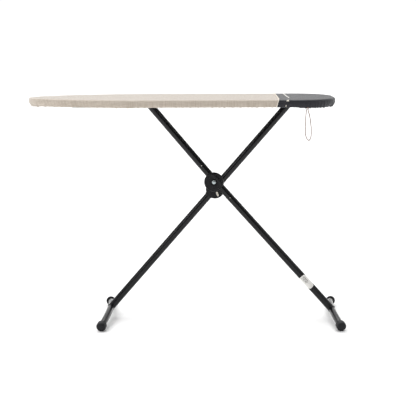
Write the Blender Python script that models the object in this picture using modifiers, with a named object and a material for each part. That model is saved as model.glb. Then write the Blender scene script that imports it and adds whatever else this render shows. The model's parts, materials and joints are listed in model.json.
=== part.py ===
"""Folding ironing board: a padded board on two crossed tube legs that scissor about a round hub.

Metres, +Z up. The origin is on the floor under the middle of the board's length and width.
The nose points to -X and the square tail, with the heat-resistant zone, to +X.
"""

import math

import bmesh
import bpy
from mathutils import Matrix, Vector

# Board, seen from above
BOARD_LENGTH = 1.24
HALF_WIDTH = 0.19
NOSE_X = -0.6422
TAIL_X = NOSE_X + BOARD_LENGTH
NOSE_RUN = 0.43  # length over which the nose widens to the full width
NOSE_POWER = 1.45  # how blunt the nose is
TAIL_CORNER = 0.155
SEAM_X = 0.362  # where the linen cover meets the heat-resistant zone

# Layers of the board, from the top down
TABLE_TOP = 0.9295
SKIRT_BOTTOM = 0.900
COVER_THICK = 0.0010
PAD_THICK = 0.0055
PAD_INSET = 0.0050
PANEL_THICK = 0.0008
RIM_RADIUS = 0.007
RIM_WALL = 0.0010
HEM_WIDTH = 0.020
GAP = 0.0003  # between neighbours that touch

PAD_TOP = TABLE_TOP - COVER_THICK - GAP
PANEL_TOP = PAD_TOP - PAD_THICK - GAP
PANEL_BOTTOM = PANEL_TOP - PANEL_THICK
RIM_INSET = 0.0095
RIM_Z = PANEL_BOTTOM - GAP - RIM_RADIUS

# Folding frame, in the X-Z plane
LEG_RADIUS = 0.0145
LEG_WALL = 0.0012
LEG_A_Y = -0.018
LEG_B_Y = 0.018
HUB = Vector((0.1095, 0.0, 0.5845))
SLIDER = Vector((-0.1480, 0.0, 0.897))  # leg A's crossbar, which slides in the rack
HINGE = Vector((0.388, 0.0, 0.893))  # leg B's hinge on the board
BEND_A = Vector((0.089, 0.0, 0.6159))  # slight bend of leg A at the hub
LEG_B_TOP = Vector((0.4008, 0.0, 0.8818))  # leg B's straight axis, where it passes the hinge
PIN_RADIUS = 0.0045
HEAD_RADIUS = 0.0065  # heads on the ends of the crossbar and of the hinge pin

# Leg B's hinge under the board
CHEEK_FRONT = 0.366
CHEEK_BACK = 0.418
CHEEK_LOW = 0.8850
CHEEK_THICK = 0.0022
CHEEK_NEAR_Y = -0.0036
CHEEK_FAR_Y = 0.0436
CHEEK_FOOT = 0.014  # width of the flange under the panel
SLEEVE_RADIUS = 0.0095
SLEEVE_BORE = 0.0062
SLEEVE_START_Y = -0.0020
SLEEVE_LENGTH = 0.0440
HINGE_BUSH_LENGTH = 0.0120

# Hub: front cover and bolt on leg A, rear housing on leg B
COVER_RADIUS = 0.0400
COVER_DEPTH = 0.0068
HUB_BORE = 0.0044
RIDGE_RADIUS = 0.0105
RIDGE_HALF = 0.030
RIDGE_OFFSET = 0.0185  # from the bolt, square to leg A
WASHER_RADIUS = 0.0083
WASHER_THICK = 0.0012
BOLT_RADIUS = 0.0040
BOLT_REACH = 0.0835
NUT_RADIUS = 0.0075
NUT_THICK = 0.0062
NUT_Y = 0.0402
HOUSING_NEAR_Y = -0.0030
HOUSING_FAR_Y = 0.0365
LOBE = Vector((0.1140, 0.0, 0.5480))
LOBE_RADIUS = 0.038
EYE_RADIUS = 0.0240
HUB_BUSH_RADIUS = 0.0067
STRIP_MIDDLE = Vector((0.1235, 0.0, 0.5290))
STRIP_ANGLE = -72
STRIP_HALF = 0.0065
STRIP_RADIUS = 0.0040
STRIP_THICK = 0.0018

# Small pieces on leg A
RIVET_RADIUS = 0.0023
RIVET_HEIGHT = 0.0013
RIVET_PLACES = {"upper": (0.0591, 0.6515), "lower": (0.1753, 0.5185)}
LABEL_START = 0.130  # from the foot bar, along the leg
LABEL_LENGTH = 0.0656
LABEL_THICK = 0.0003

# Foot bars: bowed tubes with a cup cap at each end
BAR_RADIUS = 0.0135
BAR_WALL = 0.0012
BAR_HALF = 0.186
BAR_BOW = 0.0275
BAR_END_Z = 0.0194
FOOT_A_X = 0.6028  # middle of leg A's foot bar
FOOT_B_X = -0.3288
CAP_RADIUS = 0.0198
CAP_FILLET = 0.010
CAP_OUT = 0.014  # how far a cap stands out past its tube
CAP_GRIP = 0.013  # how far it runs back over the tube

# Rack under the board
RACK_FRONT = -0.452
RACK_BACK = -0.090
SLOT_FRONT = -0.4400
SLOT_BACK = -0.1020
SLOT_HALF = 0.0061
RACK_BOTTOM = 0.8891
RACK_Y = 0.0385
RACK_PLATE = 0.0015
NOTCH_COUNT = 7
NOTCH_RADIUS = 0.0050

# Release lever and lock bar
LEVER_PIVOT = Vector((0.46, -0.02, 0.0))
PULL_Y = -0.058
PULL_Z = 0.911
PULL_RADIUS = 0.002
LOCK_BAR_Y = -0.0407
LOCK_BAR_THICK = 0.0012
LOCK_BAR_FRONT = -0.4590  # past the rack's end, so that its slot clears the crossbar when drawn back
LOCK_BAR_BACK = -0.0840
LOCK_BAR_LOW = 0.8891
LOCK_BAR_HIGH = 0.9165
LOCK_SLOT_FRONT = -0.4490
LEVER_LOW = 0.9050
LEVER_HIGH = 0.9080
LEVER_BASE_HALF = 0.020
LEVER_BASE_THICK = 0.0016
LEVER_PIN_RADIUS = 0.0030
LEVER_PIN_HEAD = 0.0062
LEVER_PIN_LOW = 0.9020
LEVER_HALF = 0.008
LEVER_HOLE = 0.0033
GRIP_RADIUS = 0.0125
GRIP_THICK = 0.0110
SPRING_RADIUS = 0.0052
SPRING_WIRE = 0.0007
SPRING_TURNS = 4

# Cord lock at the hem
LOCK_TOP = 0.8994
LOCK_BASE = 0.8950
LOCK_RADIUS = 0.0040
LOCK_MIDDLE = (0.4732, -0.1840, 0.0)

# Drawcord loop under the near edge, about 0.27 m of cord along this route
CORD_RADIUS = 0.0014
LOOP_ROUTE = [
    (0.4714, -0.1840, 0.8939),
    (0.4700, -0.1841, 0.8890),
    (0.4682, -0.1842, 0.8800),
    (0.4668, -0.1845, 0.8620),
    (0.4660, -0.1848, 0.8400),
    (0.4657, -0.1849, 0.8180),
    (0.4659, -0.1850, 0.8000),
    (0.4668, -0.1850, 0.7890),
    (0.4700, -0.1850, 0.7790),
    (0.4748, -0.1850, 0.7706),
    (0.4800, -0.1850, 0.7672),
    (0.4845, -0.1850, 0.7715),
    (0.4880, -0.1850, 0.7830),
    (0.4889, -0.1849, 0.8000),
    (0.4878, -0.1848, 0.8220),
    (0.4850, -0.1846, 0.8460),
    (0.4806, -0.1843, 0.8700),
    (0.4766, -0.1841, 0.8850),
    (0.4750, -0.1840, 0.8939),
]

UPRIGHT = Matrix.Rotation(math.radians(90), 4, "X")  # local XY outline to world XZ


def clear_scene():
    for obj in list(bpy.data.objects):
        bpy.data.objects.remove(obj, do_unlink=True)


def new_collection(name):
    made = bpy.data.collections.new(name)
    bpy.context.scene.collection.children.link(made)
    return made


def paint(name, red, green, blue, roughness, metallic=0.0):
    """A Principled material."""
    made = bpy.data.materials.new(name)
    made.use_nodes = True
    shader = made.node_tree.nodes["Principled BSDF"]
    shader.inputs["Base Color"].default_value = (red, green, blue, 1.0)
    shader.inputs["Roughness"].default_value = roughness
    shader.inputs["Metallic"].default_value = metallic
    made.diffuse_color = (red, green, blue, 1.0)
    return made


clear_scene()
PARTS = new_collection("ironing_board")
CUTTERS = new_collection("cutters")

BLACK_PAINT = paint("black_gloss_paint", 0.012, 0.012, 0.014, 0.22, 0.0)
BLACK_PLASTIC = paint("black_plastic", 0.018, 0.018, 0.020, 0.50)
FOOT_RUBBER = paint("foot_rubber", 0.022, 0.022, 0.024, 0.70)
ZINC = paint("zinc_plate", 0.56, 0.59, 0.62, 0.35, 1.0)
PANEL_STEEL = paint("galvanised_mesh", 0.46, 0.47, 0.48, 0.45, 1.0)
LINEN = paint("linen_cover", 0.66, 0.61, 0.53, 0.95)
CHARCOAL = paint("heat_zone_fabric", 0.060, 0.060, 0.066, 0.92)
FOAM = paint("foam_pad", 0.72, 0.70, 0.64, 0.95)
CORD = paint("drawcord", 0.66, 0.55, 0.50, 0.90)
IVORY = paint("ivory_nylon", 0.80, 0.74, 0.66, 0.45)
STICKER = paint("label_film", 0.80, 0.80, 0.78, 0.40)


def parent_empty(name, place, parent=None):
    """An empty on a joint's axis, which the moving pieces hang from."""
    made = bpy.data.objects.new(name, None)
    PARTS.objects.link(made)
    made.empty_display_size = 0.05
    made.matrix_world = Matrix.Translation(place)
    if parent is not None:
        made.parent = parent
        made.matrix_parent_inverse = Matrix.Translation(parent["place"]).inverted()
    made["place"] = tuple(place)
    return made


BOARD = parent_empty("board_frame", (0.0, 0.0, 0.0))
LEG_B = parent_empty("leg_b_axis", HINGE, BOARD)
LEG_A = parent_empty("leg_a_axis", HUB, LEG_B)
LEVER = parent_empty("lever_axis", LEVER_PIVOT, BOARD)
LOCK = parent_empty("lock_bar_axis", (RACK_BACK, LOCK_BAR_Y, PULL_Z), BOARD)


def add(name, data, material, parent, place=Matrix.Identity(4)):
    """Links a finished mesh or curve as one named sub-part."""
    made = bpy.data.objects.new(name, data)
    PARTS.objects.link(made)
    made.matrix_world = place
    made.parent = parent
    made.matrix_parent_inverse = Matrix.Translation(parent["place"]).inverted()
    made.data.materials.append(material)
    return made


def as_cutter(obj):
    """Turns a sub-part into a hidden cutter."""
    PARTS.objects.unlink(obj)
    CUTTERS.objects.link(obj)
    obj.hide_render = True
    obj.display_type = "WIRE"
    return obj


def boolean(obj, other, operation="DIFFERENCE"):
    """Cuts with, or joins, another object, which becomes a hidden helper."""
    step = obj.modifiers.new(operation.lower(), "BOOLEAN")
    step.operation = operation
    step.solver = "EXACT"
    step.object = as_cutter(other)


def smooth(mesh, angle=40):
    mesh.shade_smooth()
    mesh.set_sharp_from_angle(angle=math.radians(angle))


def along(start, direction, across=Vector((0.0, 1.0, 0.0))):
    """A placement at start whose local +Z runs along direction."""
    third = Vector(direction).normalized()
    first = Vector(across).cross(third).normalized()
    second = third.cross(first)
    turn = Matrix((first, second, third)).transposed().to_4x4()
    return Matrix.Translation(start) @ turn


def box(name, low, high, material, parent):
    """A box between two corners."""
    mesh = bpy.data.meshes.new(name)
    made = bmesh.new()
    bmesh.ops.create_cube(made, size=1.0)
    size = Vector(high) - Vector(low)
    centre = (Vector(high) + Vector(low)) / 2
    bmesh.ops.scale(made, vec=size, verts=made.verts)
    bmesh.ops.translate(made, vec=centre, verts=made.verts)
    made.to_mesh(mesh)
    made.free()
    return add(name, mesh, material, parent)


def rod(name, radius, start, end, material, parent, sides=20):
    """A solid round rod between two points."""
    start, end = Vector(start), Vector(end)
    length = (end - start).length
    mesh = bpy.data.meshes.new(name)
    made = bmesh.new()
    bmesh.ops.create_cone(
        made, cap_ends=True, segments=sides, radius1=radius, radius2=radius, depth=length
    )
    bmesh.ops.translate(made, vec=(0.0, 0.0, length / 2), verts=made.verts)
    made.to_mesh(mesh)
    made.free()
    smooth(mesh)
    direction = (end - start).normalized()
    across = Vector((1.0, 0.0, 0.0)) if abs(direction.y) > 0.9 else Vector((0.0, 1.0, 0.0))
    return add(name, mesh, material, parent, along(start, direction, across))


def turned(name, profile, place, material, parent, steps=24):
    """A body turned about local Z from a profile of (radius, height) points."""
    mesh = bpy.data.meshes.new(name)
    points = [(radius, 0.0, height) for radius, height in profile]
    mesh.from_pydata(points, [(i, i + 1) for i in range(len(points) - 1)], [])
    made = add(name, mesh, material, parent, place)
    screw = made.modifiers.new("turn", "SCREW")
    screw.axis = "Z"
    screw.angle = 2 * math.pi
    screw.steps = steps
    screw.render_steps = steps
    screw.use_merge_vertices = True
    screw.merge_threshold = 0.00001
    screw.use_smooth_shade = True
    return made


def ring_profile(outer, inner, low, high):
    """Closed profile of a plain ring, down its outer side first."""
    return [(outer, high), (outer, low), (inner, low), (inner, high), (outer, high)]


def wire_curve(points, radius, resolution=2, closed=False, caps=True):
    """Curve data of a round tube or wire along the points."""
    data = bpy.data.curves.new("route", "CURVE")
    data.dimensions = "3D"
    data.bevel_depth = radius
    data.bevel_resolution = resolution
    data.use_fill_caps = caps
    spline = data.splines.new("POLY")
    spline.points.add(len(points) - 1)
    for point, place in zip(spline.points, points):
        point.co = (*place, 1.0)
    spline.use_cyclic_u = closed
    spline.use_smooth = True
    return data


def wire(name, points, radius, material, parent, resolution=2, closed=False):
    data = wire_curve(points, radius, resolution, closed)
    return add(name, data, material, parent)


def as_mesh(obj, material, parent):
    """Replaces a curve by its mesh, with its caps welded, so that it can be cut."""
    graph = bpy.context.evaluated_depsgraph_get()
    mesh = bpy.data.meshes.new_from_object(obj.evaluated_get(graph))
    welded = bmesh.new()
    welded.from_mesh(mesh)
    bmesh.ops.remove_doubles(welded, verts=welded.verts, dist=0.00001)
    bmesh.ops.recalc_face_normals(welded, faces=welded.faces)
    welded.to_mesh(mesh)
    welded.free()
    name, place = obj.name, obj.matrix_world.copy()
    bpy.data.objects.remove(obj, do_unlink=True)
    mesh.materials.clear()
    return add(name, mesh, material, parent, place)


def hollow_tube(name, points, radius, wall, material, parent, resolution=6):
    """An open-ended tube along the points."""
    data = wire_curve(points, radius, resolution, caps=False)
    made = as_mesh(add(name, data, material, parent), material, parent)
    shell = made.modifiers.new("wall", "SOLIDIFY")
    shell.thickness = wall
    shell.offset = -1.0
    shell.use_rim = True
    return made


def plate(name, loops, thick, place, material, parent):
    """A flat piece: outlines in local XY, holes included, centred on local Z."""
    data = bpy.data.curves.new(name, "CURVE")
    data.dimensions = "2D"
    data.fill_mode = "BOTH"
    data.extrude = thick / 2
    for loop in loops:
        spline = data.splines.new("POLY")
        spline.points.add(len(loop) - 1)
        for point, (across, up) in zip(spline.points, loop):
            point.co = (across, up, 0.0, 1.0)
        spline.use_cyclic_u = True
    made = add(name, data, material, parent, place)
    return as_mesh(made, material, parent)


def circle(across, up, radius, count=16):
    turns = [2 * math.pi * i / count for i in range(count)]
    return [(across + radius * math.cos(t), up + radius * math.sin(t)) for t in turns]


def arc(across, up, radius, first, last, count):
    """Points of an arc, with its angles in degrees."""
    turns = [math.radians(first + (last - first) * i / count) for i in range(count + 1)]
    return [(across + radius * math.cos(t), up + radius * math.sin(t)) for t in turns]


def stadium(start, end, radius, count=8):
    """Outline of a bar with round ends between two points."""
    start, end = Vector(start), Vector(end)
    angle = math.degrees(math.atan2(end.y - start.y, end.x - start.x))
    head = arc(end.x, end.y, radius, angle - 90, angle + 90, count)
    tail = arc(start.x, start.y, radius, angle + 90, angle + 270, count)
    return head + tail


def half_outline(nose_steps, tail_steps):
    """One side of the board's outline, from the nose tip to the tail."""
    points = []
    for i in range(nose_steps + 1):
        share = (i / nose_steps) ** 2
        reach = math.sqrt(1 - (1 - share) ** NOSE_POWER)
        points.append((NOSE_X + NOSE_RUN * share, HALF_WIDTH * reach))
    points += [(0.0, HALF_WIDTH), (SEAM_X, HALF_WIDTH)]
    centre = (TAIL_X - TAIL_CORNER, HALF_WIDTH - TAIL_CORNER)
    points += arc(*centre, TAIL_CORNER, 90, 0, tail_steps)
    return points


def board_outline(inset=0.0, nose_steps=12, tail_steps=8):
    """The whole outline, counter-clockwise, drawn in by inset."""
    upper = half_outline(nose_steps, tail_steps)
    lower = [(x, -y) for x, y in upper[1:]]
    points = lower + upper[:0:-1] + [upper[0]]
    moved = []
    for i, point in enumerate(points):
        before = Vector(points[i - 1])
        after = Vector(points[(i + 1) % len(points)])
        run = (after - before).normalized()
        moved.append((point[0] - run.y * inset, point[1] + run.x * inset))
    return moved


def half_width_at(x):
    share = min(1.0, (x - NOSE_X) / NOSE_RUN)
    return HALF_WIDTH * math.sqrt(1 - (1 - share) ** NOSE_POWER)


def cover_piece(name, keep, seam, material):
    """Part of the cover: its top, its skirt and the hem turned in under the board."""
    rings = []
    for inset, height in (
        (0.0035, TABLE_TOP),
        (0.0008, TABLE_TOP - 0.0012),
        (0.0, TABLE_TOP - 0.0040),
        (0.0, SKIRT_BOTTOM + 0.0025),
        (0.0025, SKIRT_BOTTOM),
        (HEM_WIDTH, SKIRT_BOTTOM),
    ):
        ring = [(x, y, height) for x, y in board_outline(inset) if keep(x)]
        rings.append([(seam if abs(x - SEAM_X) < 0.001 else x, y, z) for x, y, z in ring])
    start = max(range(len(rings[0])), key=lambda i: gap_before(rings[0], i))
    rings = [ring[start:] + ring[:start] for ring in rings]
    made = bmesh.new()
    rows = [[made.verts.new(point) for point in ring] for ring in rings]
    made.faces.new(rows[0])
    for upper, lower in zip(rows, rows[1:]):
        for i in range(len(upper) - 1):
            made.faces.new((upper[i + 1], upper[i], lower[i], lower[i + 1]))
    mesh = bpy.data.meshes.new(name)
    made.to_mesh(mesh)
    made.free()
    piece = add(name, mesh, material, BOARD)
    shell = piece.modifiers.new("cloth", "SOLIDIFY")
    shell.thickness = COVER_THICK
    shell.offset = -1.0
    shell.use_rim = True
    return piece


def gap_before(ring, i):
    return (Vector(ring[i]) - Vector(ring[i - 1])).length


def make_board():
    """Cover, pad, panel and the rim tube that carries them."""
    cover_piece("cover_main", lambda x: x <= SEAM_X + 0.001, SEAM_X - GAP, LINEN)
    cover_piece("cover_heat_zone", lambda x: x >= SEAM_X - 0.001, SEAM_X + GAP, CHARCOAL)
    inner = board_outline(COVER_THICK + 3 * GAP)
    pad = board_outline(PAD_INSET)
    pad_z = PAD_TOP - PAD_THICK / 2
    plate("foam_pad", [pad], PAD_THICK, Matrix.Translation((0, 0, pad_z)), FOAM, BOARD)
    panel_z = PANEL_TOP - PANEL_THICK / 2
    place = Matrix.Translation((0, 0, panel_z))
    plate("top_panel", [inner], PANEL_THICK, place, PANEL_STEEL, BOARD)
    route = [(x, y, RIM_Z) for x, y in board_outline(RIM_INSET)]
    first = max(range(len(route)), key=lambda i: route[i][0] + 0.001 * (route[i][1] > 0))
    route = route[first:] + route[:first]
    joint_gap = 0.0005
    route = [(route[0][0], joint_gap, RIM_Z), *route, (route[0][0], -joint_gap, RIM_Z)]
    hollow_tube("rim_tube", route, RIM_RADIUS, RIM_WALL, BLACK_PAINT, BOARD, resolution=2)
    plug_x = route[0][0]
    rod("rim_joint_plug", RIM_RADIUS - RIM_WALL - GAP, (plug_x, -0.025, RIM_Z),
        (plug_x, 0.025, RIM_Z), ZINC, BOARD, sides=8)
    hem_z = SKIRT_BOTTOM + COVER_THICK + GAP + CORD_RADIUS
    hem = [(x, y, hem_z) for x, y in board_outline(HEM_WIDTH - 0.003)]
    wire("hem_drawcord", hem, CORD_RADIUS, CORD, BOARD, resolution=1, closed=True)


def make_braces():
    """Flat cross straps between the rim's two sides, under the panel."""
    high = PANEL_BOTTOM - GAP
    for name, x in (("front", -0.466), ("middle", -0.072), ("rear", 0.335)):
        reach = half_width_at(x - 0.011) - RIM_INSET - RIM_RADIUS - 0.001
        box(f"cross_brace_{name}", (x - 0.011, -reach, high - 0.0016),
            (x + 0.011, reach, high), BLACK_PAINT, BOARD)


def rack_outline(front, back, low, high, slot_front):
    """Outer loop and slot of a rack plate, with notches along the slot's upper edge."""
    outer = [(front, low), (back, low), (back, high), (front, high)]
    top, bottom = SLIDER.z + SLOT_HALF, SLIDER.z - SLOT_HALF
    slot = [(slot_front, bottom), (SLOT_BACK, bottom), (SLOT_BACK, top)]
    step = (SLOT_BACK - SLOT_FRONT) / (NOTCH_COUNT + 1)
    for i in range(NOTCH_COUNT):
        middle = SLOT_BACK - step * (i + 1)
        slot += arc(middle, top, NOTCH_RADIUS, 0, 180, 6)
    slot += [(slot_front, top)]
    return [outer, slot]


def make_rack():
    """The channel under the board in which leg A's crossbar slides."""
    web_high = PANEL_BOTTOM - GAP
    web_low = web_high - RACK_PLATE
    half = RACK_Y - 0.0025
    box("rack_web", (RACK_FRONT, -half, web_low), (RACK_BACK, half, web_high), BLACK_PAINT, BOARD)
    loops = rack_outline(RACK_FRONT, RACK_BACK, RACK_BOTTOM, web_high, SLOT_FRONT)
    for name, y in (("near", -RACK_Y), ("far", RACK_Y)):
        place = Matrix.Translation((0, y, 0)) @ UPRIGHT
        plate(f"rack_plate_{name}", loops, RACK_PLATE, place, BLACK_PAINT, BOARD)


def make_hinge():
    """Two zinc cheeks and the pin that carries leg B."""
    high = PANEL_BOTTOM - GAP
    outline = [
        (CHEEK_FRONT, high),
        (CHEEK_FRONT, CHEEK_LOW + 0.006),
        (CHEEK_FRONT + 0.008, CHEEK_LOW),
        (CHEEK_BACK - 0.006, CHEEK_LOW),
        (CHEEK_BACK, CHEEK_LOW + 0.005),
        (CHEEK_BACK, high),
    ]
    loops = [outline, circle(HINGE.x, HINGE.z, PIN_RADIUS + GAP)]
    for name, y, outward in (("near", CHEEK_NEAR_Y, -1), ("far", CHEEK_FAR_Y, 1)):
        place = Matrix.Translation((0, y, 0)) @ UPRIGHT
        cheek = plate(f"hinge_bracket_{name}", loops, CHEEK_THICK, place, ZINC, BOARD)
        edge = y + outward * CHEEK_FOOT
        foot = box(f"bracket_foot_{name}", (CHEEK_FRONT, min(y, edge), high - CHEEK_THICK),
                   (CHEEK_BACK, max(y, edge), high), ZINC, BOARD)
        boolean(cheek, foot, "UNION")
    near_end = CHEEK_NEAR_Y - CHEEK_THICK / 2 - 0.0005
    far_end = CHEEK_FAR_Y + CHEEK_THICK / 2 + 0.0053
    rod("hinge_pin", PIN_RADIUS, (HINGE.x, near_end, HINGE.z), (HINGE.x, far_end, HINGE.z), ZINC, BOARD)
    for name, start, outward in (("near", near_end - GAP, -1), ("far", far_end + GAP, 1)):
        rod(f"hinge_pin_cap_{name}", HEAD_RADIUS, (HINGE.x, start, HINGE.z),
            (HINGE.x, start + outward * 0.0030, HINGE.z), ZINC, BOARD)


def make_lever():
    """Release lever under the tail, with its base, pin and return spring."""
    x, y = LEVER_PIVOT.x, LEVER_PIVOT.y
    high = PANEL_BOTTOM - GAP
    base_low = high - LEVER_BASE_THICK
    box("lever_base", (x - LEVER_BASE_HALF, y - LEVER_BASE_HALF, base_low),
        (x + LEVER_BASE_HALF, y + LEVER_BASE_HALF, high), ZINC, BOARD)
    pin_top = base_low - GAP
    head_top = LEVER_LOW - 0.0013
    pin = [(0.0, pin_top), (LEVER_PIN_RADIUS, pin_top), (LEVER_PIN_RADIUS, head_top)]
    pin += [(LEVER_PIN_HEAD, head_top), (LEVER_PIN_HEAD, LEVER_PIN_LOW), (0.0, LEVER_PIN_LOW)]
    turned("lever_pin", pin, Matrix.Translation((x, y, 0)), ZINC, BOARD, steps=16)
    wire("lever_spring", coil_route(pin_top), SPRING_WIRE, ZINC, BOARD, resolution=1)

    arm = [(x, PULL_Y), (x, y), (x + 0.010, y + 0.060), (x + 0.026, 0.130)]
    left = [(px - LEVER_HALF, py) for px, py in arm]
    right = [(px + LEVER_HALF, py) for px, py in arm]
    tail = arc(*arm[0], LEVER_HALF, 180, 360, 8)
    tip = arc(*arm[-1], LEVER_HALF, 0, 180, 8)
    outline = tail + right[1:-1] + tip + left[-2:0:-1]
    holes = [circle(x, PULL_Y, LEVER_HOLE), circle(x, y, LEVER_HOLE)]
    flat = Matrix.Translation((0, 0, (LEVER_LOW + LEVER_HIGH) / 2))
    thick = LEVER_HIGH - LEVER_LOW
    plate("release_lever", [outline, *holes], thick, flat, BLACK_PAINT, LEVER)
    grip_loop = stadium((x + 0.0175, 0.090), (x + 0.0268, 0.133), GRIP_RADIUS)
    grip = plate("lever_grip", [grip_loop], GRIP_THICK, flat, BLACK_PLASTIC, LEVER)
    half = LEVER_HALF + GAP
    slot = [(px + half, py) for px, py in arm[2:]] + arc(*arm[-1], half, 0, 180, 8)
    slot += [(px - half, py) for px, py in arm[:1:-1]]
    boolean(grip, plate("grip_slot", [slot], thick + 2 * GAP, flat, BLACK_PLASTIC, LEVER))


def coil_route(pin_top):
    """Axis of the return spring round the lever's pin."""
    low, high = LEVER_HIGH + 0.0013, pin_top - 0.0016
    per_turn = 12
    count = SPRING_TURNS * per_turn
    points = []
    for i in range(count + 1):
        angle = 2 * math.pi * i / per_turn
        across = LEVER_PIVOT.x + SPRING_RADIUS * math.cos(angle)
        deep = LEVER_PIVOT.y + SPRING_RADIUS * math.sin(angle)
        points.append((across, deep, low + (high - low) * i / count))
    return points


def make_lock_bar():
    """Notched bar beside the rack, drawn towards the tail by the lever's pull rod."""
    loops = rack_outline(LOCK_BAR_FRONT, LOCK_BAR_BACK, LOCK_BAR_LOW, LOCK_BAR_HIGH, LOCK_SLOT_FRONT)
    place = Matrix.Translation((0, LOCK_BAR_Y, 0)) @ UPRIGHT
    bar = plate("lock_bar", loops, LOCK_BAR_THICK, place, ZINC, LOCK)
    tab_high = PULL_Z - PULL_RADIUS - GAP
    tab = box("lock_bar_tab", (LOCK_BAR_BACK - 0.012, PULL_Y - 0.004, tab_high - 0.0014),
              (LOCK_BAR_BACK, LOCK_BAR_Y, tab_high), ZINC, LOCK)
    boolean(bar, tab, "UNION")
    x = LEVER_PIVOT.x
    route = [
        (LOCK_BAR_BACK - 0.014, PULL_Y, PULL_Z),
        (x - 0.006, PULL_Y, PULL_Z),
        (x - 0.0018, PULL_Y, PULL_Z - 0.0006),
        (x, PULL_Y, PULL_Z - 0.0030),
        (x, PULL_Y, LEVER_LOW - 0.0020),
    ]
    wire("pull_rod", route, PULL_RADIUS, ZINC, LOCK)


def foot_middle_at(x, knee):
    """Middle of the foot bar at x, and the leg's direction from its knee down to it."""
    down = (Vector((x, 0, BAR_END_Z)) - knee).normalized()
    middle = Vector((x, 0, BAR_END_Z - down.z * BAR_BOW))
    return middle, (middle - knee).normalized()


def bar_route(middle, down):
    """Axis of a bowed foot bar, whose ends reach BAR_BOW further down the leg's line."""
    curve_radius = (BAR_HALF**2 + BAR_BOW**2) / (2 * BAR_BOW)
    reach = math.asin(BAR_HALF / curve_radius)
    points = []
    for i in range(-6, 7):
        angle = reach * i / 6
        drop = curve_radius * (1 - math.cos(angle))
        points.append(middle + down * drop + Vector((0, curve_radius * math.sin(angle), 0)))
    return points, reach


def make_foot(leg, middle, down, parent):
    """A foot bar with a cup cap on each end, flattened where it meets the floor."""
    points, reach = bar_route(middle, down)
    hollow_tube(f"{leg}_foot_bar", points, BAR_RADIUS, BAR_WALL, BLACK_PAINT, parent, resolution=5)
    fillet = arc(CAP_RADIUS - CAP_FILLET, CAP_OUT - CAP_FILLET, CAP_FILLET, 90, 0, 5)
    bore = BAR_RADIUS + 3 * GAP
    profile = [(0.0, CAP_OUT), *fillet, (CAP_RADIUS, -CAP_GRIP), (bore, -CAP_GRIP)]
    profile += [(bore, 2 * GAP), (0.0, 2 * GAP)]
    for side, end in (("near", points[0]), ("far", points[-1])):
        outward = -1.0 if side == "near" else 1.0
        direction = Vector((0, outward * math.cos(reach), 0)) + down * math.sin(reach)
        place = along(end, direction, Vector((1.0, 0.0, 0.0)))
        cap = turned(f"{leg}_foot_cap_{side}", profile, place, FOOT_RUBBER, parent)
        floor = box(f"{leg}_floor_{side}", (end.x - 0.05, end.y - 0.05, -0.02),
                    (end.x + 0.05, end.y + 0.05, 0.0), FOOT_RUBBER, parent)
        boolean(cap, floor)


def cope(obj, name, middle, down, parent):
    """Cuts a leg's lower end to the round of its foot bar."""
    points, _ = bar_route(middle, down)
    data = wire_curve(points[4:9], BAR_RADIUS + GAP, 5)
    boolean(obj, as_mesh(add(name, data, BLACK_PAINT, parent), BLACK_PAINT, parent))


def bore(obj, name, radius, centre, parent):
    """Cuts a hole along Y right through a piece."""
    start = Vector((centre.x, -0.08, centre.z))
    end = Vector((centre.x, 0.08, centre.z))
    boolean(obj, rod(name, radius, start, end, ZINC, parent))


def make_leg_a():
    """The near leg: its crossbar slides in the rack, and it carries the front of the hub."""
    shift = Vector((0, LEG_A_Y, 0))
    upper = (SLIDER - BEND_A).normalized()
    foot_middle, down = foot_middle_at(FOOT_A_X, BEND_A)
    top = SLIDER + upper * 0.012
    tube = hollow_tube("leg_a_tube", [top + shift, BEND_A + shift, foot_middle + shift],
                       LEG_RADIUS, LEG_WALL, BLACK_PAINT, LEG_A)
    cope(tube, "leg_a_cope", foot_middle, down, LEG_A)
    bore(tube, "leg_a_slider_bore", PIN_RADIUS + GAP, SLIDER, LEG_A)
    bore(tube, "leg_a_hub_bore", HUB_BORE, HUB, LEG_A)
    make_foot("leg_a", foot_middle, down, LEG_A)

    plug_fit = LEG_RADIUS - LEG_WALL - GAP
    plug = [(0.0, 0.0024), (0.0125, 0.0024), (LEG_RADIUS, 0.0010), (LEG_RADIUS, GAP), (plug_fit, GAP)]
    plug += [(plug_fit, -0.0050), (0.0, -0.0050)]
    turned("leg_a_end_plug", plug, along(top + shift, upper), BLACK_PLASTIC, LEG_A)
    rod("leg_a_crossbar", PIN_RADIUS, SLIDER + Vector((0, -0.0470, 0)), SLIDER + Vector((0, 0.0460, 0)),
        ZINC, LEG_A)
    for side, start, end in (("near", -0.0473, -0.0510), ("far", 0.0463, 0.0500)):
        rod(f"crossbar_cap_{side}", HEAD_RADIUS, SLIDER + Vector((0, start, 0)),
            SLIDER + Vector((0, end, 0)), BLACK_PLASTIC, LEG_A)
    make_hub_front(down)
    make_rivets()
    make_label(foot_middle, down)


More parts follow.
